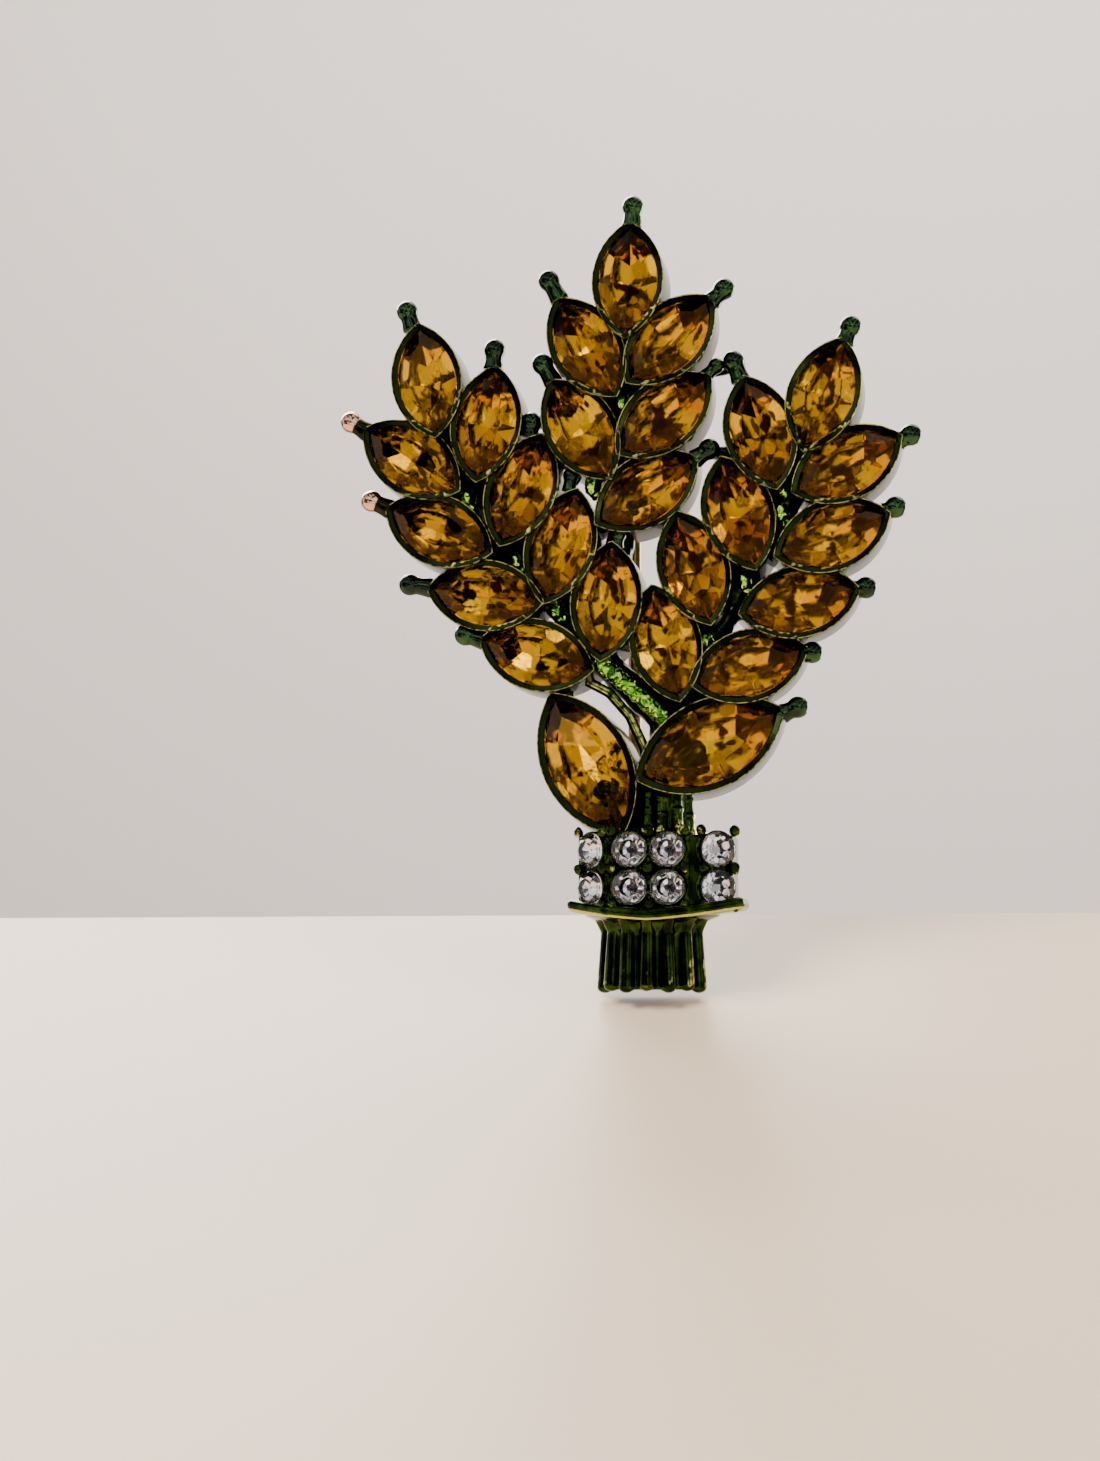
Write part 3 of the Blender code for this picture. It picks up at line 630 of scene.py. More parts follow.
set_stones(GRAINS, grain_master, amber_glass, gold_foil)
set_stones(LEAVES, leaf_master, amber_glass, gold_foil)
set_stones(ROUNDS, round_master, clear_glass, silver_foil)
print("stones set:", len(SEATS))

# %% [markdown]
# ## The cups
# Each stone sits in a cast cup: a pointed-oval wall with a thin raised lip, a dark slope inside it
# that runs down to the stone's edge, and a pocket below. One cup of each size is modelled from the
# same pointed plate as the stones, by extruding and resizing its top and its underside. Every
# copy is then cut flush with the flat back of the brooch.

# %% Model one cup of each size
SEAT_GAP = 0.08 * MM
LIP_HEIGHT = EDGE + 0.18 * MM
LIP_WIDTH = 0.08 * MM
LIP_RUB = 0.57  # how rubbed a lip is
POCKET_END = (0.42, 0.2, 1)  # how far the pocket narrows to its bottom
FLANK_STEPS = ((0.10, 0.015), (0.45, 0.03), (1.0, 0.05), (2.9, 0.05))  # down and out, in mm


def mark_wear_and_highlight(piece, share_at):
    """Writes how rubbed each point of the mesh is, from 0 to 1, for the finish to read; on the bundles'
    ridges and the flange's lower edge it also sets painted highlight.
    """
    layer = piece.data.attributes.get("wear_and_highlight") or piece.data.attributes.new("wear_and_highlight", "FLOAT", "POINT")
    for item, point in zip(layer.data, piece.data.vertices):
        item.value = share_at(point.co)


def cup_outline(size, grow):
    """Half length and half width of a stone's outline, grown evenly."""
    radius, inset, _ = arc_of(size)
    return math.sqrt((radius + grow) ** 2 - inset**2), size["width"] / 2 + grow


def step_face(size, grow, new_grow, down):
    """Extrudes the selected outline straight down and brings it to its new growth."""
    (long, wide), (new_long, new_wide) = cup_outline(size, grow), cup_outline(size, new_grow)
    extrude((0, 0, -down), (new_long / long, new_wide / wide, 1))
    return new_grow


def model_cup(name, size, wall):
    grow = outer = SEAT_GAP + wall
    cup = pointed_plate(name, size, grow, LIP_HEIGHT - 0.06 * MM, LIP_HEIGHT, 96)
    edit(cup, lambda face: face.normal.z < -0.9)
    for down, out in FLANK_STEPS:
        grow = step_face(size, grow, grow + out * MM, down * MM)
    edit(cup, lambda face: face.normal.z > 0.9)
    grow = step_face(size, outer, outer - LIP_WIDTH, 0)
    grow = step_face(size, grow, grow - 0.05 * MM, 0.12 * MM)
    grow = step_face(size, grow, SEAT_GAP * 0.5, 0.05 * MM)
    grow = step_face(size, grow, SEAT_GAP * 0.5, 0.30 * MM)
    extrude((0, 0, -size["depth"]), POCKET_END)
    only(cup)
    bpy.ops.object.mode_set(mode="EDIT")
    bpy.ops.mesh.select_mode(type="EDGE")
    bpy.ops.mesh.select_all(action="DESELECT")
    bpy.ops.object.mode_set(mode="OBJECT")
    points = cup.data.vertices
    for line in cup.data.edges:
        line.select = all(points[i].co.z > LIP_HEIGHT - 0.01 * MM for i in line.vertices)
    bpy.ops.object.mode_set(mode="EDIT")
    bpy.ops.mesh.bevel(offset=0.035 * MM, segments=2, affect="EDGES")
    return smooth(tell(cup), 50)


# %% [markdown]
# Neighbouring cups run into each other, and in the mould they are one. So a Boolean unites the
# cups of each ear before the back is cut flat, and then the rubbed lips are marked.

# %% Copy the cups under the stones, unite them and cut them flush with the back
GRAIN_WALL, LEAF_WALL = 0.36 * MM, 0.42 * MM
STEP_BACK = 0.015 * MM  # keeps the flat backs of pieces that overlap from lying in one plane


def cup_size(node):
    """The size of a node's stone and the thickness of its cup's wall."""
    return (LEAF, LEAF_WALL) if node.startswith("leaf") else (GRAIN, GRAIN_WALL)


def flat_back(piece, steps):
    """Cuts a piece's back flat, this many steps in front of the back plane."""
    slice_off(piece, (0, -steps * STEP_BACK, 0), (0, 1, 0))


def on_lip(point, nodes):
    """How rubbed a point is: only the raised lip of its own cup is."""
    for node in nodes:
        size, wall = cup_size(node)
        near = INTO_SEAT[node] @ point
        radius, inset, _ = arc_of(size)
        out = math.hypot(near.x, abs(near.y) + inset) - radius - SEAT_GAP - wall
        if abs(out) < 0.15 * MM and near.z > LIP_HEIGHT - 0.03 * MM:
            return LIP_RUB
    return 0.0


def cup_group(name, nodes, steps):
    """The cups of one ear, or of both leaves, as one piece with a flat back."""
    master = leaf_cup if nodes[0].startswith("leaf") else grain_cup
    cups = [copy_of(master, "cup", SEATS[node]) for node in nodes]
    group = only(cups[0])
    for cup in cups[1:]:
        modify(group, "BOOLEAN", operation="UNION", solver="MANIFOLD", object=cup)
        drop(cup)
    flat_back(group, steps)
    named(name)
    mark_wear_and_highlight(group, lambda p: on_lip(p, nodes))
    return smooth(tell(group), 40)


INTO_SEAT = {node: SEATS[node].inverted() for node in GRAINS + LEAVES}
grain_cup = model_cup("grain_cup", GRAIN, GRAIN_WALL)
leaf_cup = model_cup("leaf_cup", LEAF, LEAF_WALL)
cup_groups = [cup_group("leaf_cups", LEAVES, 3)]
for number, ear in enumerate(("middle", "left", "right")):
    nodes = [node for node in GRAINS if f"stone_{ear}" in node]
    cup_groups.append(cup_group(f"{ear}_ear_cups", nodes, number))
drop(grain_cup, leaf_cup)

# %% [markdown]
# ## The awns
# Each grain ends in an awn: a short neck with a ball. The ball is a sphere whose rear faces are
# drawn out into the neck, and the neck swells where it runs into the cup, as solder or cast metal
# does. The table gives each grain's awn: its lean from upright, how far the ball's middle lies
# past the cup's tip, and the ball's size.

# %% Model one awn and copy it to the grains
BALL, SMALL_BALL = 0.74 * MM, 0.55 * MM
AWN_HEIGHT = 2.2 * MM
AWNS = {
    "grain_stone_left": (
        (-17, 1.1, BALL), (5, 1.1, BALL), (-57, 1.1, BALL), (7, 0.6, BALL), (-65, 1.2, BALL),
        (7, 0.8, SMALL_BALL), (-80, 1.3, BALL), (9, 0.5, SMALL_BALL), (-73, 1.1, BALL),
    ),
    "grain_stone_middle": (
        (3, 1.1, BALL), (-29, 1.4, BALL), (46, 0.9, BALL), (-30, 1.3, BALL),
        (46, 0.7, SMALL_BALL), (56, 0.9, BALL),
    ),
    "grain_stone_right": (
        (-20, 1.2, BALL), (21, 0.9, BALL), (65, 0.5, BALL), None, (66, 0.4, BALL),
        None, (78, 0.3, BALL), None, (78, 0.1, BALL),
    ),
    "leaf_stone": (None, (67, 0.8, BALL)),
}
COPPER_AWNS = ("grain_stone_left_3", "grain_stone_left_5")


def model_awn():
    """An awn with a ball of radius 1 at the origin and its neck along -Z."""
    only(None)
    bpy.ops.mesh.primitive_uv_sphere_add(segments=24, ring_count=16, radius=1)
    awn = named("awn")
    edit(awn, lambda face: face.center.z < -0.60)
    for down, size, flat in ((0.16, 0.94, 0.05), (0.45, 1.06, 1), (0.55, 1.18, 1)):
        extrude((0, 0, -down), (size, size, flat))
    modify(awn, "SUBSURF", levels=1, render_levels=1)
    return smooth(tell(awn), 60)


def cup_reach(node):
    """From a seat's middle to the tip of its cup."""
    size, wall = cup_size(node)
    return cup_outline(size, SEAT_GAP + wall)[0]


NECK = 0.66  # where the neck starts below the ball's middle, in ball radii


def awn_for(node, lean, reach, ball):
    """A copy of the awn on this grain, its neck just long enough to end inside the cup's tip."""
    way = Vector((math.sin(math.radians(lean)), 0, math.cos(math.radians(lean))))
    seat = SEATS[node].translation
    tip = Vector((seat.x, -AWN_HEIGHT, seat.z)) + way * cup_reach(node)
    end = tip + way * reach * MM
    twin = copy_of(awn, "awn_" + node)
    last = -min(v.co.z for v in twin.data.vertices)
    neck = (reach * MM + 0.45 * MM) / ball
    for point in twin.data.vertices:
        if point.co.z < -NECK:
            share = (-point.co.z - 0.85) / (last - NECK)
            point.co.z = -NECK - share * max(neck - NECK, 0.05)
    if node in COPPER_AWNS:
        copper_balls.append(end)
    turn = way.to_track_quat("Z", "Y").to_matrix().to_4x4()
    twin.data.transform(Matrix.Translation(end) @ turn @ Matrix.Diagonal((ball, ball, ball, 1)))
    return twin


awn = model_awn()
green_awns, copper_awns, copper_balls = [], [], []
for prefix, rows in AWNS.items():
    sides = ("left", "right") if prefix == "leaf_stone" else range(1, 10)
    for side, row in zip(sides, rows):
        if row:
            node = f"{prefix}_{side}"
            group = copper_awns if node in COPPER_AWNS else green_awns
            group.append(awn_for(node, *row))
drop(awn)
print("awns:", len(green_awns), "green and", len(copper_awns), "copper")
green_awns = smooth(join(green_awns, "green_awns"), 60)
copper_awns = smooth(join(copper_awns, "copper_awns"), 60)
mark_wear_and_highlight(green_awns, lambda p: 0.12)


def near_ball(point):
    """1 on a copper ball and 0 on its neck, from how close the point lies to a ball's surface."""
    return 1.0 if min(abs((point - ball).length - BALL) for ball in copper_balls) < 0.03 * MM else 0.0


mark_wear_and_highlight(copper_awns, near_ball)

# %% [markdown]
# ## Stalks, webs and seed nubs
# Behind the cups run the stalks of the three ears, cast in one with them, and short webs join one
# ear to the next. They are rods with a ball at each bend. A voxel remesh melts them into one
# piece, as in the mould, and the back is cut flat. Small bright nubs fill the gaps between the
# grains: they are lumps in front of the stalks, with a rough skin.

# %% Rods, balls and melting
BAND_TOP = BAND_MIDDLE + 2.52 * MM
NECK_TOP = (0.8, 2.6)
RACHISES = (
    (NECK_TOP, (0.9, 7.6), (-3.0, 11.4), (-6.0, 15.2), (-9.0, 18.6), (-12.4, 23.0), (-13.6, 27.0)),
    (NECK_TOP, (2.4, 8.2), (4.0, 12.9), (6.5, 16.9), (9.0, 21.3), (10.0, 25.4)),
    ((-2.2, 18.9), (-1.6, 22.0), (-1.7, 29.0), (-1.2, 35.0)),
)
WEBS = (
    ((4.6, 31.2), (6.1, 31.6)), ((3.8, 25.6), (6.4, 25.4)), ((-8.0, 27.9), (-5.4, 28.6)),
    ((-5.2, 24.0), (-4.4, 25.4)), ((-2.2, 20.2), (-1.0, 21.6)), ((-5.6, 9.8), (-5.6, 8.0)),
    ((-3.0, 3.0), NECK_TOP), ((3.4, 5.4), NECK_TOP),
)
NUBS = (
    (-12.4, 22.7), (-8.9, 18.4), (-6.2, 15.0), (-3.8, 23.4), (-1.8, 29.0),
    (9.0, 21.2), (6.5, 16.7), (3.9, 12.7), (8.9, 23.1),
)


def spot(across, up, height):
    """A point from mm across and up from the band's top edge, and its height above the back."""
    return Vector((across * MM, -height, BAND_TOP + up * MM))


def laid(start, end, name):
    """Turns the new piece, which stands at the origin, to run from start to end."""
    piece = bpy.context.object
    piece.data.transform((end - start).to_track_quat("Z", "Y").to_matrix().to_4x4())
    piece.data.transform(Matrix.Translation((start + end) / 2))
    return named(name)


def rod(start, end, radius):
    only(None)
    bpy.ops.mesh.primitive_cylinder_add(vertices=16, radius=radius, depth=(end - start).length)
    return laid(start, end, "rod")


def lump(middle, radius, stretch=(1, 1, 1)):
    only(None)
    bpy.ops.mesh.primitive_ico_sphere_add(subdivisions=3, radius=radius, location=middle)
    bpy.context.object.scale = stretch
    return named("lump")


def run_of(points, radius, height):
    """Rods along a line of places, with a ball at each."""
    spots = [spot(*point, height) for point in points]
    return [rod(*pair, radius) for pair in zip(spots, spots[1:])] + [lump(p, radius) for p in spots]


def melt(pieces, name, voxel, relax=3):
    """Melts overlapping pieces into one smooth skin."""
    piece = join(pieces, name)
    modify(piece, "REMESH", mode="VOXEL", voxel_size=voxel, adaptivity=0)
    modify(piece, "SMOOTH", factor=0.5, iterations=relax)
    return smooth(piece, 80)


def roughen(piece, scale, depth):
    """Moves each point in or out a little, by noise."""
    ways = [point.normal.copy() for point in piece.data.vertices]
    for point, way in zip(piece.data.vertices, ways):
        point.co += way * noise.noise(point.co * scale) * depth
    piece.data.update()


# %% Stalks and webs
pieces = []
for points in RACHISES:
    pieces += run_of(points, 1.0 * MM, 0.6 * MM)
for points in WEBS:
    pieces += run_of(points, 0.5 * MM, 1.3 * MM)
stalks = melt(pieces, "stalks", 0.13 * MM)
roughen(stalks, 1800, 0.08 * MM)
flat_back(stalks, 5)
smooth(stalks, 45)
mark_wear_and_highlight(stalks, lambda p: 0.30 + 0.25 * noise.noise(p * 900) if p.y < -1.2 * MM else 0.0)
tell(stalks)

# %% Seed nubs
pieces = []
for number, (across, up) in enumerate(NUBS):
    middle = spot(across, up, 2.0 * MM)
    pieces.append(lump(middle, 0.62 * MM, (0.8, 1.0, 1.25)))
    pieces.append(lump(middle + Vector((0.3, 0.15, -0.55)) * MM, 0.45 * MM))
    pieces.append(rod(middle, spot(across, up, 0.8 * MM), 0.5 * MM))
nubs = melt(pieces, "seed_nubs", 0.09 * MM, 1)
roughen(nubs, 3600, 0.12 * MM)
mark_wear_and_highlight(nubs, lambda p: 0.5 + 0.5 * noise.noise(p * 2200))
tell(nubs)

# %% [markdown]
# The short twig that crosses to the left ear is the brightest piece of metal: a ridge with a
# frosted lime skin above, and a thin pale edge below that curves down into the neck.

# %% Twig
TWIG = ((1.4, 7.3), (0.6, 8.1), (-1.2, 9.7), (-3.3, 11.4))
twig = melt(run_of(TWIG, 0.56 * MM, 2.3 * MM), "twig", 0.07 * MM, 1)
roughen(twig, 4200, 0.16 * MM)
mark_wear_and_highlight(twig, lambda p: 0.5 + 0.6 * noise.noise(p * 2600))
twig_edge = melt(
    run_of(((-4.2, 10.2), (-2.7, 9.4), (-1.3, 7.8), (-0.3, 5.6), (-0.2, 4.0)), 0.36 * MM, 1.7 * MM)
    + run_of(((1.3, 7.4), (1.0, 5.6), (0.8, 3.5)), 0.6 * MM, 1.5 * MM),
    "twig_edge", 0.08 * MM,
)
mark_wear_and_highlight(twig_edge, lambda p: 0.55)
tell(twig)

# %% [markdown]
# ## The tie band
# The band wraps the stalks with three flat faces. It starts as a block. The two outer faces are
# bisect cuts, the corners get a bevel, and a Boolean sinks a round seat for each stone. Small
# beads of metal stand between the stones and hold them, as in bead setting.

# %% Band and flange from cut blocks
BAND_DEPTH, BAND_SHIFT, PITCH = 4.8 * MM, 0.3 * MM, 2.5 * MM
FRONT_HALF = 2.7 * MM
TURNS = {-1: math.radians(39), 1: math.radians(28)}  # how far the outer faces turn back
RUNS = {-1: 3.35 * MM, 1: 3.50 * MM}  # length of each outer face
BAND_LOW, FLANGE_LOW = BAND_TOP - 5.04 * MM, BAND_TOP - 5.64 * MM


def band_block(name, low, high, grow):
    """A block with the band's outline: a front face and one turned face on each side."""
    ends = {
        side: BAND_SHIFT + side * (FRONT_HALF + RUNS[side] * math.cos(TURNS[side]) + grow)
        for side in (-1, 1)
    }
    depth = BAND_DEPTH + grow
    middle = ((ends[-1] + ends[1]) / 2, -depth / 2, (low + high) / 2)
    piece = block(name, middle, (ends[1] - ends[-1], depth, high - low))
    for side, turn in TURNS.items():
        corner = Vector((BAND_SHIFT + side * FRONT_HALF, -BAND_DEPTH, 0))
        way = Vector((side * math.sin(turn), -math.cos(turn), 0))
        slice_off(piece, corner + way * grow, way)
    return piece


def bevel_sharp(piece, width, segments, angle=30):
    return modify(piece, "BEVEL", width=width, segments=segments, limit_method="ANGLE",
                  angle_limit=math.radians(angle))


INSET = 0.35 * MM  # the core block lies this far inside the seats' faces


def upright(node, piece):
    """Moves a piece made along +Z into a round stone's seat."""
    only(piece)
    piece.data.transform(SEATS[node])
    return piece


def seat_post(node):
    only(None)
    bpy.ops.mesh.primitive_cylinder_add(
        vertices=40, radius=1.27 * MM, depth=1.6 * MM, location=(0, 0, -0.62 * MM)
    )
    return upright(node, named("seat_post"))


def seat_cutter(node):
    only(None)
    bpy.ops.mesh.primitive_cone_add(vertices=32, radius1=0.25 * MM, radius2=1.17 * MM, depth=1.0 * MM,
                                    location=(0, 0, -0.42 * MM))
    cutter = named("seat_cutter")
    edit(cutter, lambda face: face.normal.z > 0.9)
    extrude((0, 0, 0.6 * MM))
    return upright(node, cutter)


core = band_block("core", BAND_LOW, BAND_TOP - 0.3 * MM, -INSET)
push(core, lambda face: face.normal.y > 0.9, ((0, 0.6 * MM, 0), (1, 1, 1)))
band = melt([core] + [seat_post(node) for node in ROUNDS], "tie_band", 0.10 * MM, 2)
flat_back(band, 0)
cutter = join([seat_cutter(node) for node in ROUNDS], "seat_cutters")
modify(band, "BOOLEAN", operation="DIFFERENCE", solver="EXACT", object=cutter)
drop(cutter)
mark_wear_and_highlight(band, lambda p: 0.10 + 0.3 * noise.noise(p * 1300))
smooth(tell(band), 50)

flange = band_block("band_flange", FLANGE_LOW - 0.05 * MM, BAND_LOW + 0.22 * MM, 0.42 * MM)
bevel_sharp(flange, 0.38 * MM, 5)
modify(flange, "SUBSURF", subdivision_type="SIMPLE", levels=3, render_levels=3)
modify(flange, "REMESH", mode="VOXEL", voxel_size=0.09 * MM, adaptivity=0)
modify(flange, "SMOOTH", factor=0.5, iterations=10)
END_RISE, FRONT_DIP, FLANGE_HALF = 0.45 * MM, 0.30 * MM, 5.8 * MM
for point in flange.data.vertices:
    p = point.co
    middle = max(0.0, 1 - abs(p.x - BAND_SHIFT) / FLANGE_HALF)
    p.z += END_RISE * (1 - middle) ** 2 - FRONT_DIP * middle * -p.y / BAND_DEPTH
flat_back(flange, 2)
normals = [point.normal.copy() for point in flange.data.vertices]
mark_wear_and_highlight(flange, lambda p: 0.0)
# The edge that faces down gets pale gold: partly rubbed metal, partly a painted reflection of the bright
# floor below.
for item, way in zip(flange.data.attributes["wear_and_highlight"].data, normals):  # only its lower edge is rubbed
    item.value = 0.72 if -0.88 < way.z < -0.45 else 0.12
smooth(tell(flange), 45)

# %% Beads between the stones
def face_frame(node, point):
    """A point of a round stone's own frame in the brooch's frame."""
    return SEATS[node] @ Vector(point)


beads = []
half = PITCH / 2
for column in range(1, 5):
    node = f"band_stone_upper_{column}"
    for number, (up, across) in enumerate(
        (u * PITCH + half, side * half) for u in (0, -1, -2) for side in (-1, 1)
    ):
        size = (0.34 + 0.10 * noise.noise(Vector((column * 3.7, number * 1.9, 0)))) * MM
        beads.append(lump(face_frame(node, (up * 0.98, across * 0.94, 0.12 * MM)), size, (1, 1, 1.15)))
beads = melt(beads, "band_beads", 0.07 * MM, 1)
roughen(beads, 3800, 0.06 * MM)
mark_wear_and_highlight(beads, lambda p: 0.28 + 0.5 * noise.noise(p * 2500))
tell(beads)

# %% [markdown]
# ## The bundles of stalks
# Below the band the cut stalks stand side by side, and above it they narrow into a neck with
# bumps. Each stalk is a tapered rod on the bundle's half-round front. They are melted together so
# that soft grooves stay between them, and flared into the flange.

# %% Foot bundle and neck
def stalk_ring(count, half_width, depth, shift):
    """Places of the stalks on a half-round front, as (x, y)."""
    turns = [math.pi * (i + 0.5) / count for i in range(count)]
    return [(shift - half_width * math.cos(t), -depth * math.sin(t)) for t in turns]


def tapered(low, high, radius_low, radius_high):
    only(None)
    bpy.ops.mesh.primitive_cone_add(
        vertices=24, radius1=radius_low, radius2=radius_high, depth=(high - low).length
    )
    return laid(low, high, "tapered")


def half_core(low, high, half_width, depth, shift):
    only(None)
    bpy.ops.mesh.primitive_cylinder_add(vertices=48, radius=1, depth=high - low)
    bpy.context.object.scale = (half_width, depth, 1)
    bpy.context.object.location = (shift, 0, (low + high) / 2)
    return named("core")


def flare_core(low, high, spread_low, spread_high):
    """A round of the flare under the flange, which opens upwards."""
    only(None)
    bpy.ops.mesh.primitive_cone_add(
        vertices=48, radius1=spread_low, radius2=spread_high, depth=high - low
    )
    bpy.context.object.scale = (FOOT_HALF, FOOT_DEPTH, 1)
    bpy.context.object.location = (0, 0, (low + high) / 2)
    return named("flare")


FOOT_HALF, FOOT_DEPTH = 2.95 * MM, 3.05 * MM
FOOT_TOP, FLARE_HEIGHT = FLANGE_LOW + 0.25 * MM, 1.5 * MM
NECK_MIDDLE = 0.85 * MM
pieces = [
    half_core(FOOT + 0.3 * MM, FOOT_TOP, FOOT_HALF, FOOT_DEPTH, 0),
    flare_core(FOOT_TOP - 1.4 * MM, FOOT_TOP - 0.6 * MM, 1.0, 1.16),
    flare_core(FOOT_TOP - 0.6 * MM, FOOT_TOP - 0.1 * MM, 1.16, 1.58),
]
for number, (x, y) in enumerate(stalk_ring(7, 3.02 * MM, 3.12 * MM, 0)):
    wobble = noise.noise(Vector((number * 2.3, 0.7, 0))) * 0.12 * MM
    low = Vector((x * 1.07, y * 1.02, FOOT + (0.10 + 0.12 * (number % 2)) * MM))
    high = Vector((x * 0.98 + wobble, y, FOOT_TOP - 0.2 * MM))
    pieces.append(tapered(low + Vector((0, 0, 0.35 * MM)), high, 0.54 * MM, 0.44 * MM))
    pieces.append(lump(low + Vector((0, 0, 0.4 * MM)), 0.54 * MM, (1, 1, 0.8)))
    flare = Vector((x * 1.22, y * 1.20, FOOT_TOP - 0.2 * MM))
    pieces.append(tapered(high - Vector((0, 0, 1.1 * MM)), flare, 0.44 * MM, 0.30 * MM))
foot = melt(pieces, "foot_bundle", 0.09 * MM, 4)
flat_back(foot, 6)
smooth(tell(foot), 45)

pieces = [half_core(BAND_TOP - 0.6 * MM, BAND_TOP + 3.2 * MM, 1.75 * MM, 2.4 * MM, NECK_MIDDLE)]
for number, (x, y) in enumerate(stalk_ring(5, 1.85 * MM, 2.5 * MM, NECK_MIDDLE)):
    low = Vector((x, y, BAND_TOP - 0.5 * MM))
    high = Vector((NECK_MIDDLE + (x - NECK_MIDDLE) * 0.8, y * 0.8, BAND_TOP + 4.3 * MM))
    pieces.append(tapered(low, high, 0.44 * MM, 0.36 * MM))
    for step in range(4):
        share = (step + 0.4 + 0.3 * (number % 2)) / 4.2
        pieces.append(lump(low.lerp(high, share), 0.50 * MM, (1, 1, 0.8)))
neck = melt(pieces, "neck_bundle", 0.09 * MM, 1)
flat_back(neck, 7)
smooth(tell(neck), 45)


def ridge_wear_and_highlight(piece, core_x, core_width, core_depth, gain):
    """Marks the parts of a bundle that stand farthest out from its core, but not the foot's flare:
    rubbed gold that is also painted highlight along the ridges.
    """
    def share(p):
        flared = 1.0
        if p.z < FOOT_TOP + MM:
            flared += 0.5 * max(0.0, (p.z - FOOT_TOP + FLARE_HEIGHT) / FLARE_HEIGHT)
        out = math.hypot((p.x - core_x) / core_width, p.y / core_depth) / flared
        return max(0.0, (out - 1.0) * gain) + 0.22 * noise.noise(p * 1500)
    mark_wear_and_highlight(piece, share)


# The ridges of the foot and neck get pale gold lines, partly rubbed metal and partly painted highlight.
ridge_wear_and_highlight(foot, 0, 3.35 * MM, 3.40 * MM, 4.5)
ridge_wear_and_highlight(neck, NECK_MIDDLE, 2.0 * MM, 2.6 * MM, 6.0)

# %% [markdown]
# ## The pin on the back
# The finding is a stock one: a joint bracket with two ears, a rivet, a needle that swings on it,
# and a round catch with a turning sleeve that locks the needle in. Each is turned or stamped
# metal, so cylinders are extruded, drilled with Booleans and given small bevels.

# %% Places and sizes of the finding
rivet_low, rivet_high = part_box("hinge_rivet")
catch_low, catch_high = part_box("catch_body")
JOINT = (rivet_low + rivet_high) / 2
CATCH = Vector((JOINT.x, JOINT.y, (catch_low.z + catch_high.z) / 2))
RIVET, NEEDLE, EYE = 0.4 * MM, 0.45 * MM, 0.96 * MM
EYE_HALF, EAR, GAP = 0.575 * MM, 0.5 * MM, 0.06 * MM
BASE_FLOOR = 0.75 * MM
LOCK_BORE, LOCK, SHELL_BORE, SHELL = 0.58 * MM, 1.13 * MM, 1.19 * MM, 1.69 * MM
CATCH_LENGTH = 1.9 * MM


def bar(name, middle, way, radius, length, sides=48):
    """A round bar along X, Y or Z."""
    turns = {"X": (0, math.pi / 2, 0), "Y": (math.pi / 2, 0, 0), "Z": (0, 0, 0)}
    only(None)
    bpy.ops.mesh.primitive_cylinder_add(
        vertices=sides, radius=radius, depth=length, location=middle, rotation=turns[way])
    return named(name)


def weld(piece, operation, other):
    modify(piece, "BOOLEAN", operation=operation, solver="EXACT", object=other)
    drop(other)
    return piece


def foot_disc(name, z):
    """The round base that is soldered to its pad, with a stepped edge."""
    disc = bar(name, (JOINT.x, BASE_FLOOR - 0.2 * MM, z), "Y", 2.0 * MM, 0.4 * MM, 64)
    return push(disc, lambda face: face.normal.y > 0.9, ((0, 0.07 * MM, 0), (0.86, 1, 0.86)))


# %% Joint bracket and rivet
bracket = foot_disc("joint_bracket", JOINT.z)
for side in (-1, 1):
    x = JOINT.x + side * (EYE_HALF + GAP + EAR / 2)
    ear = bar("ear", (x, JOINT.y, JOINT.z), "X", EYE, EAR, 40)
    push(ear, lambda face: face.normal.y < -0.1,
         ((0, -(JOINT.y - BASE_FLOOR) + 0.35 * MM, 0), (1, 0, 1.4)))
    weld(bracket, "UNION", ear)
bevel_sharp(bracket, 0.07 * MM, 2, 40)
smooth(tell(bracket), 40)

rivet = bar("joint_rivet", JOINT, "X", RIVET, 2 * (EYE_HALF + GAP + EAR) + 0.06 * MM, 32)
for side in (-1, 1):
    push(rivet, lambda face: face.normal.x * side > 0.9,
         ((0, 0, 0), (1, 1.6, 1.6)), ((side * 0.14 * MM, 0, 0), (1, 1, 1)),
         ((side * 0.07 * MM, 0, 0), (1, 0.8, 0.8)), ((side * 0.03 * MM, 0, 0), (1, 0.5, 0.5)))
smooth(tell(rivet), 50)

# %% Needle with its eye
needle = bar("needle", JOINT + Vector((0, 0, -0.9 * MM)), "Z", NEEDLE * 1.25, 0.6 * MM, 32)
shaft = JOINT.z - 1.2 * MM - (CATCH.z - 2.3 * MM) - 2.6 * MM
push(needle, lambda face: face.normal.z < -0.9,
     ((0, 0, -0.5 * MM), (0.8, 0.8, 1)), ((0, 0, -shaft + 0.5 * MM), (1, 1, 1)),
     ((0, 0, -0.9 * MM), (0.86, 0.86, 1)), ((0, 0, -0.9 * MM), (0.64, 0.64, 1)),
     ((0, 0, -0.7 * MM), (0.3, 0.3, 1)), ((0, 0, -0.1 * MM), (0.3, 0.3, 1)))
eye = bevel_sharp(bar("eye", JOINT, "X", EYE, 2 * EYE_HALF, 48), 0.10 * MM, 3, 40)
weld(needle, "UNION", eye)
weld(needle, "DIFFERENCE", bar("bore", JOINT, "X", RIVET + GAP * 0.5, 4 * EYE_HALF, 32))
smooth(tell(needle), 40)

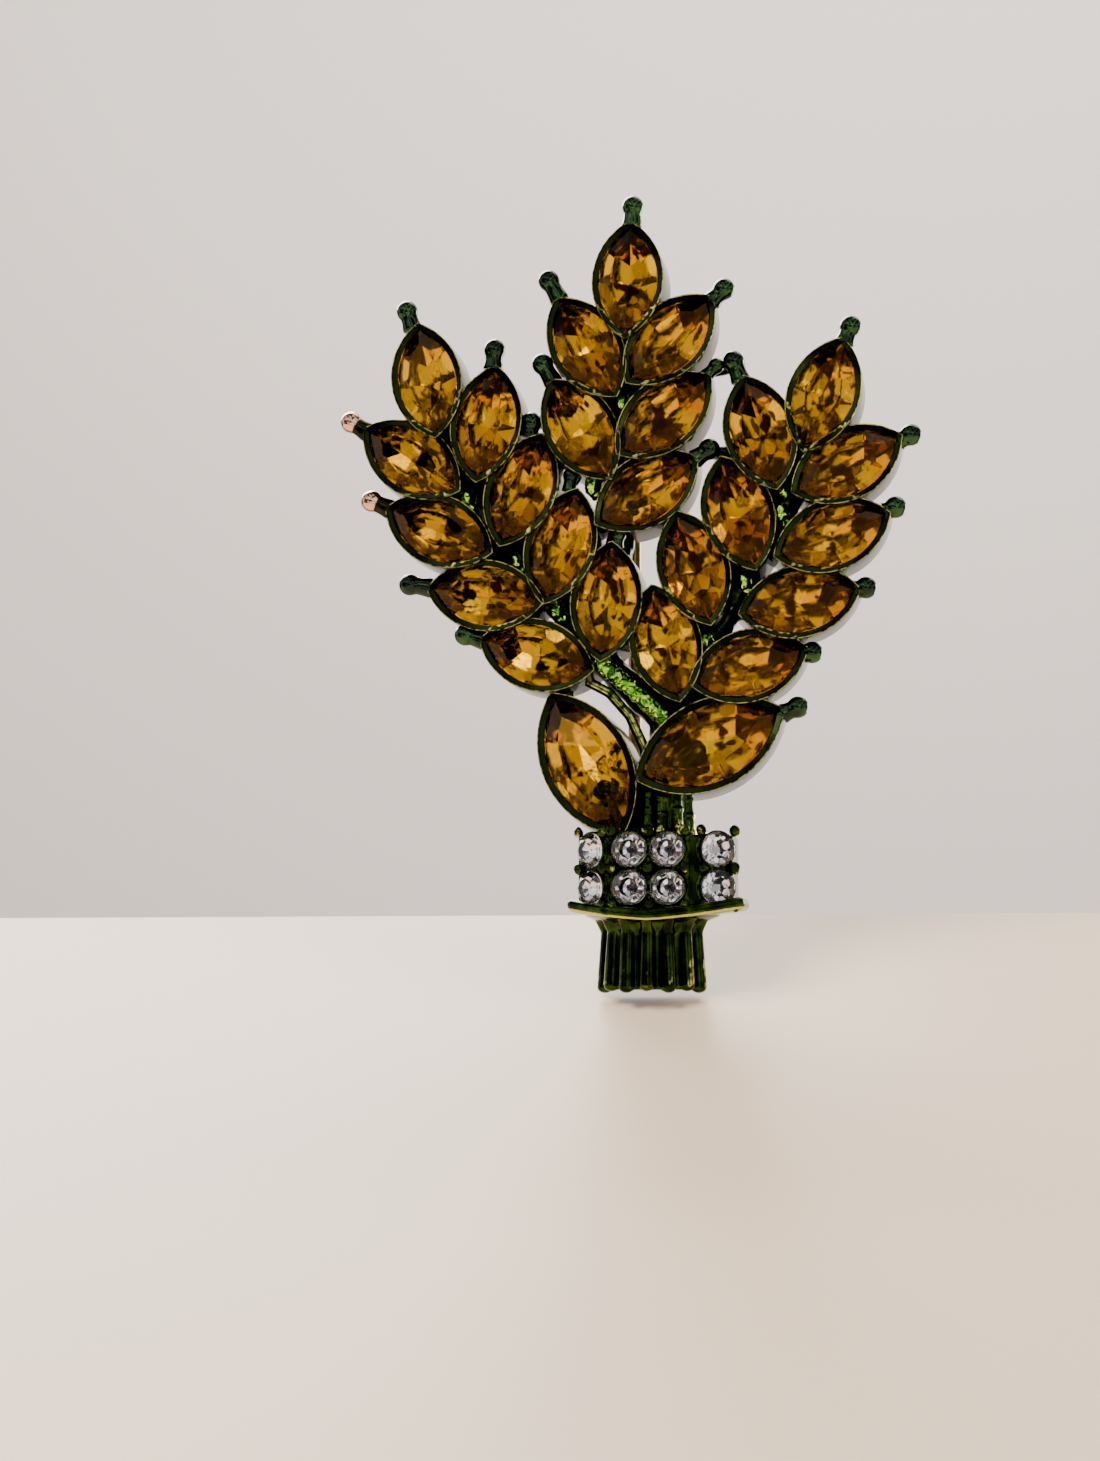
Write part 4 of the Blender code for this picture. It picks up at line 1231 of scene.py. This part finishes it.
# %% Catch shell on its post
only(None)
bpy.ops.mesh.primitive_plane_add(size=1)
shell = bpy.context.object
shell.data.transform(Matrix.Diagonal((SHELL - SHELL_BORE, CATCH_LENGTH, 1, 1)))
shell.data.transform(Matrix.Rotation(math.pi / 2, 4, "X"))
MOUTH = math.radians(75)
wall_middle = Matrix.Translation(((SHELL + SHELL_BORE) / 2, 0, 0))
start = Matrix.Rotation(MOUTH + math.pi / 2, 4, "Z") @ wall_middle
shell.data.transform(Matrix.Translation(CATCH) @ start)
edit(shell)
bpy.ops.mesh.spin(steps=42, angle=2 * math.pi - 2 * MOUTH, center=CATCH, axis=(0, 0, 1))
heal(shell)
catch = foot_disc("catch_shell", CATCH.z)
post = block(
    "post", (CATCH.x, (BASE_FLOOR + JOINT.y - SHELL_BORE) / 2 - 0.15 * MM, CATCH.z),
    (1.5 * MM, JOINT.y - SHELL_BORE - BASE_FLOOR, CATCH_LENGTH * 0.92),
)
weld(catch, "UNION", post)
weld(catch, "UNION", shell)
bevel_sharp(catch, 0.06 * MM, 2, 45)
smooth(tell(catch), 35)

# %% Turning lock sleeve with its lever
END = CATCH_LENGTH / 2 + 0.56 * MM
lock = bar("lock_sleeve", CATCH, "Z", LOCK, CATCH_LENGTH + 0.22 * MM, 64)
for side in (-1, 1):
    push(lock, lambda face: face.normal.z * side > 0.9,
         ((0, 0, 0), (1.34, 1.34, 1)), ((0, 0, side * 0.45 * MM), (1, 1, 1)))
LEVER_TURN = math.radians(-52)
only(None)
bpy.ops.mesh.primitive_cube_add(size=1)
lever = bpy.context.object
lever.data.transform(Matrix.Diagonal((0.5 * MM, 2.05 * MM, CATCH_LENGTH - 0.12 * MM, 1)))
lever.data.transform(Matrix.Translation((0, 1.87 * MM, 0)))
lever.data.transform(Matrix.Translation(CATCH) @ Matrix.Rotation(LEVER_TURN, 4, "Z"))
lever.name = "lever"
weld(lock, "UNION", bevel_sharp(lever, 0.15 * MM, 3, 40))
weld(lock, "DIFFERENCE", bar("bore", CATCH, "Z", LOCK_BORE, 4 * END, 40))
slot_width = 2 * (NEEDLE + GAP * 1.5)
slot = block("slot", CATCH + Vector((0, 1.5 * MM, 0)), (slot_width, 3.0 * MM, 4 * END))
weld(lock, "DIFFERENCE", slot)
bevel_sharp(lock, 0.05 * MM, 2, 45)
smooth(tell(lock), 35)

# %% Pads that the bases are soldered to
pads = []
for z in (JOINT.z, CATCH.z):
    pad = bar("pad", (JOINT.x, 0, z), "Y", 2.2 * MM, 0.6 * MM, 64)
    pads.append(bevel_sharp(pad, 0.12 * MM, 3, 40))
pads = join(pads, "back_pads")
mark_wear_and_highlight(pads, lambda p: 0.2 + 0.3 * noise.noise(p * 900))
smooth(tell(pads), 40)

# %% [markdown]
# ## The finish of the casting
# The casting is gilded and then covered with a dark green lacquer, which looks black in the
# shade. It is rubbed away on lips and ridges, so the pale gold shows there as thin broken lines.
# On the ridges of the foot and neck and on the flange's lower edge, these gold lines are also
# painted highlights, standing in for where the glossy metal catches the light.
# The lacquer is made as a dark and nearly smooth metal, so that it mirrors the room deeply and stays
# green. Only the balls, the twig and the nubs have a clear coat as well.

# %% Lacquered gold finishes
DUST_COLOUR = (0.62, 0.60, 0.54, 1)
LACQUERS = {  # two tones of lacquer, the metal under it, grain, breakup, dust and coat
    "cup_lacquer": (
        (0.011, 0.016, 0.005), (0.018, 0.027, 0.007), (0.42, 0.41, 0.12), 5200.0, 1.1, 0.03, 0.0),
    "ball_lacquer": (
        (0.006, 0.018, 0.006), (0.024, 0.080, 0.016), (0.5, 0.45, 0.2), 4200.0, 0.5, 0.03, 0.4),
    "copper_finish": (
        (0.01, 0.012, 0.006), (0.03, 0.03, 0.012), (0.86, 0.50, 0.34), 4200.0, 0.4, 0.05, 0.0),
    "frosted_lime": (
        (0.02, 0.16, 0.002), (0.10, 0.48, 0.008), (0.50, 0.85, 0.10), 6500.0, 1.1, 0.05, 0.3),
    # Its pale gold is rubbed metal, and also painted highlight on the bundles' ridges and the flange's
    # lower edge.
    "bright_gold": (
        (0.007, 0.013, 0.003), (0.034, 0.068, 0.010), (0.50, 0.52, 0.13), 4200.0, 0.6, 0.02, 0.0),
}


def make_lacquer(name, dark, green, gold, scale, breakup, dust_amount, coat):
    dark, green, gold = ((*colour, 1) for colour in (dark, green, gold))
    material, tree, shader = new_finish(name, Coat_Roughness=0.07, Metallic=1.0)
    grain = use_group(tree, grain_effect, Scale=scale)
    rubbed_and_highlight_mask = use_group(tree, rubbed_and_highlight, Breakup_Scale=2600.0, Breakup=breakup)["Mask"]
    dust_mask = use_group(tree, dust, Amount=dust_amount)["Mask"]
    lacquer = blend(tree, grain["Tone"], dark, green)
    # Pale gold shows where the mask is high: rubbed metal on lips, painted highlight on the bundles'
    # ridges and the flange's lower edge.
    metal = blend(tree, rubbed_and_highlight_mask, lacquer, gold)
    wire(tree, blend(tree, dust_mask, metal, DUST_COLOUR), shader.inputs["Base Color"])
    wire(tree, remap(tree, grain["Height"], 0.1, 0.5, 0.08, 0.24), shader.inputs["Roughness"])
    wire(tree, remap(tree, rubbed_and_highlight_mask, 0, 1, coat, coat * 0.3), shader.inputs["Coat Weight"])
    bump = put(tree, "ShaderNodeBump", Height=grain["Height"], Strength=0.35, Distance=0.03 * MM)
    wire(tree, bump.outputs[0], shader.inputs["Normal"])
    return material


def dress(piece, finish, body, node):
    """Gives a piece its finish and the body it rides on, and hides the CAD node it replaces."""
    piece.data.materials.clear()
    piece.data.materials.append(finish)
    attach(piece, body)
    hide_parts(node)


lacquers = {name: make_lacquer(name, *row) for name, row in LACQUERS.items()}
for finish, pieces in (
    ("cup_lacquer", cup_groups), ("ball_lacquer", [green_awns]), ("copper_finish", [copper_awns]),
    ("cup_lacquer", [stalks]), ("frosted_lime", [nubs, twig]),
    ("bright_gold", [twig_edge, band, flange, beads, foot, neck]), ("cup_lacquer", [pads]),
):
    for piece in pieces:
        dress(piece, lacquers[finish], "root", "frame_casting")

# %% [markdown]
# ## The finish of the finding
# The wire and its fittings are yellow-brown gilt metal without lacquer. It has fine lines along
# the needle from drawing, and duller, browner patches where fingers have touched it.

# %% Drawn gilt metal
def make_gilt(name, stretch):
    material, tree, shader = new_finish(name, Metallic=1.0, Anisotropic=0.3)
    lines = noise_on(tree, 3000.0, 3.0, stretch)
    patches = noise_on(tree, 380.0, 3.0)
    tone = blend(tree, remap(tree, patches, 0.35, 0.68), (0.52, 0.33, 0.12, 1), (0.30, 0.16, 0.05, 1))
    tone = blend(tree, remap(tree, lines, 0.45, 0.75, 0.0, 0.35), tone, (0.70, 0.50, 0.24, 1))
    dust_mask = use_group(tree, dust, Amount=0.12)["Mask"]
    wire(tree, blend(tree, dust_mask, tone, DUST_COLOUR), shader.inputs["Base Color"])
    dull = remap(tree, patches, 0.3, 0.7, 0.18, 0.34)
    rough = math_node(tree, "ADD", dull, remap(tree, lines, 0.3, 0.8, 0.0, 0.1))
    wire(tree, rough, shader.inputs["Roughness"])
    bump = put(tree, "ShaderNodeBump", Height=lines, Strength=0.2, Distance=0.015 * MM)
    wire(tree, bump.outputs[0], shader.inputs["Normal"])
    return material


drawn_wire = make_gilt("drawn_wire", (1, 1, 0.04))
stamped_gilt = make_gilt("stamped_gilt", (1, 0.3, 1))
for piece, finish, body, node in (
    (bracket, stamped_gilt, "root", "pin_joint"), (rivet, stamped_gilt, "root", "hinge_rivet"),
    (needle, drawn_wire, "pin", "pin_stem"), (catch, stamped_gilt, "root", "catch_body"),
    (lock, stamped_gilt, "lock", "catch_lock"),
):
    dress(piece, finish, body, node)
print("finding in gilt")
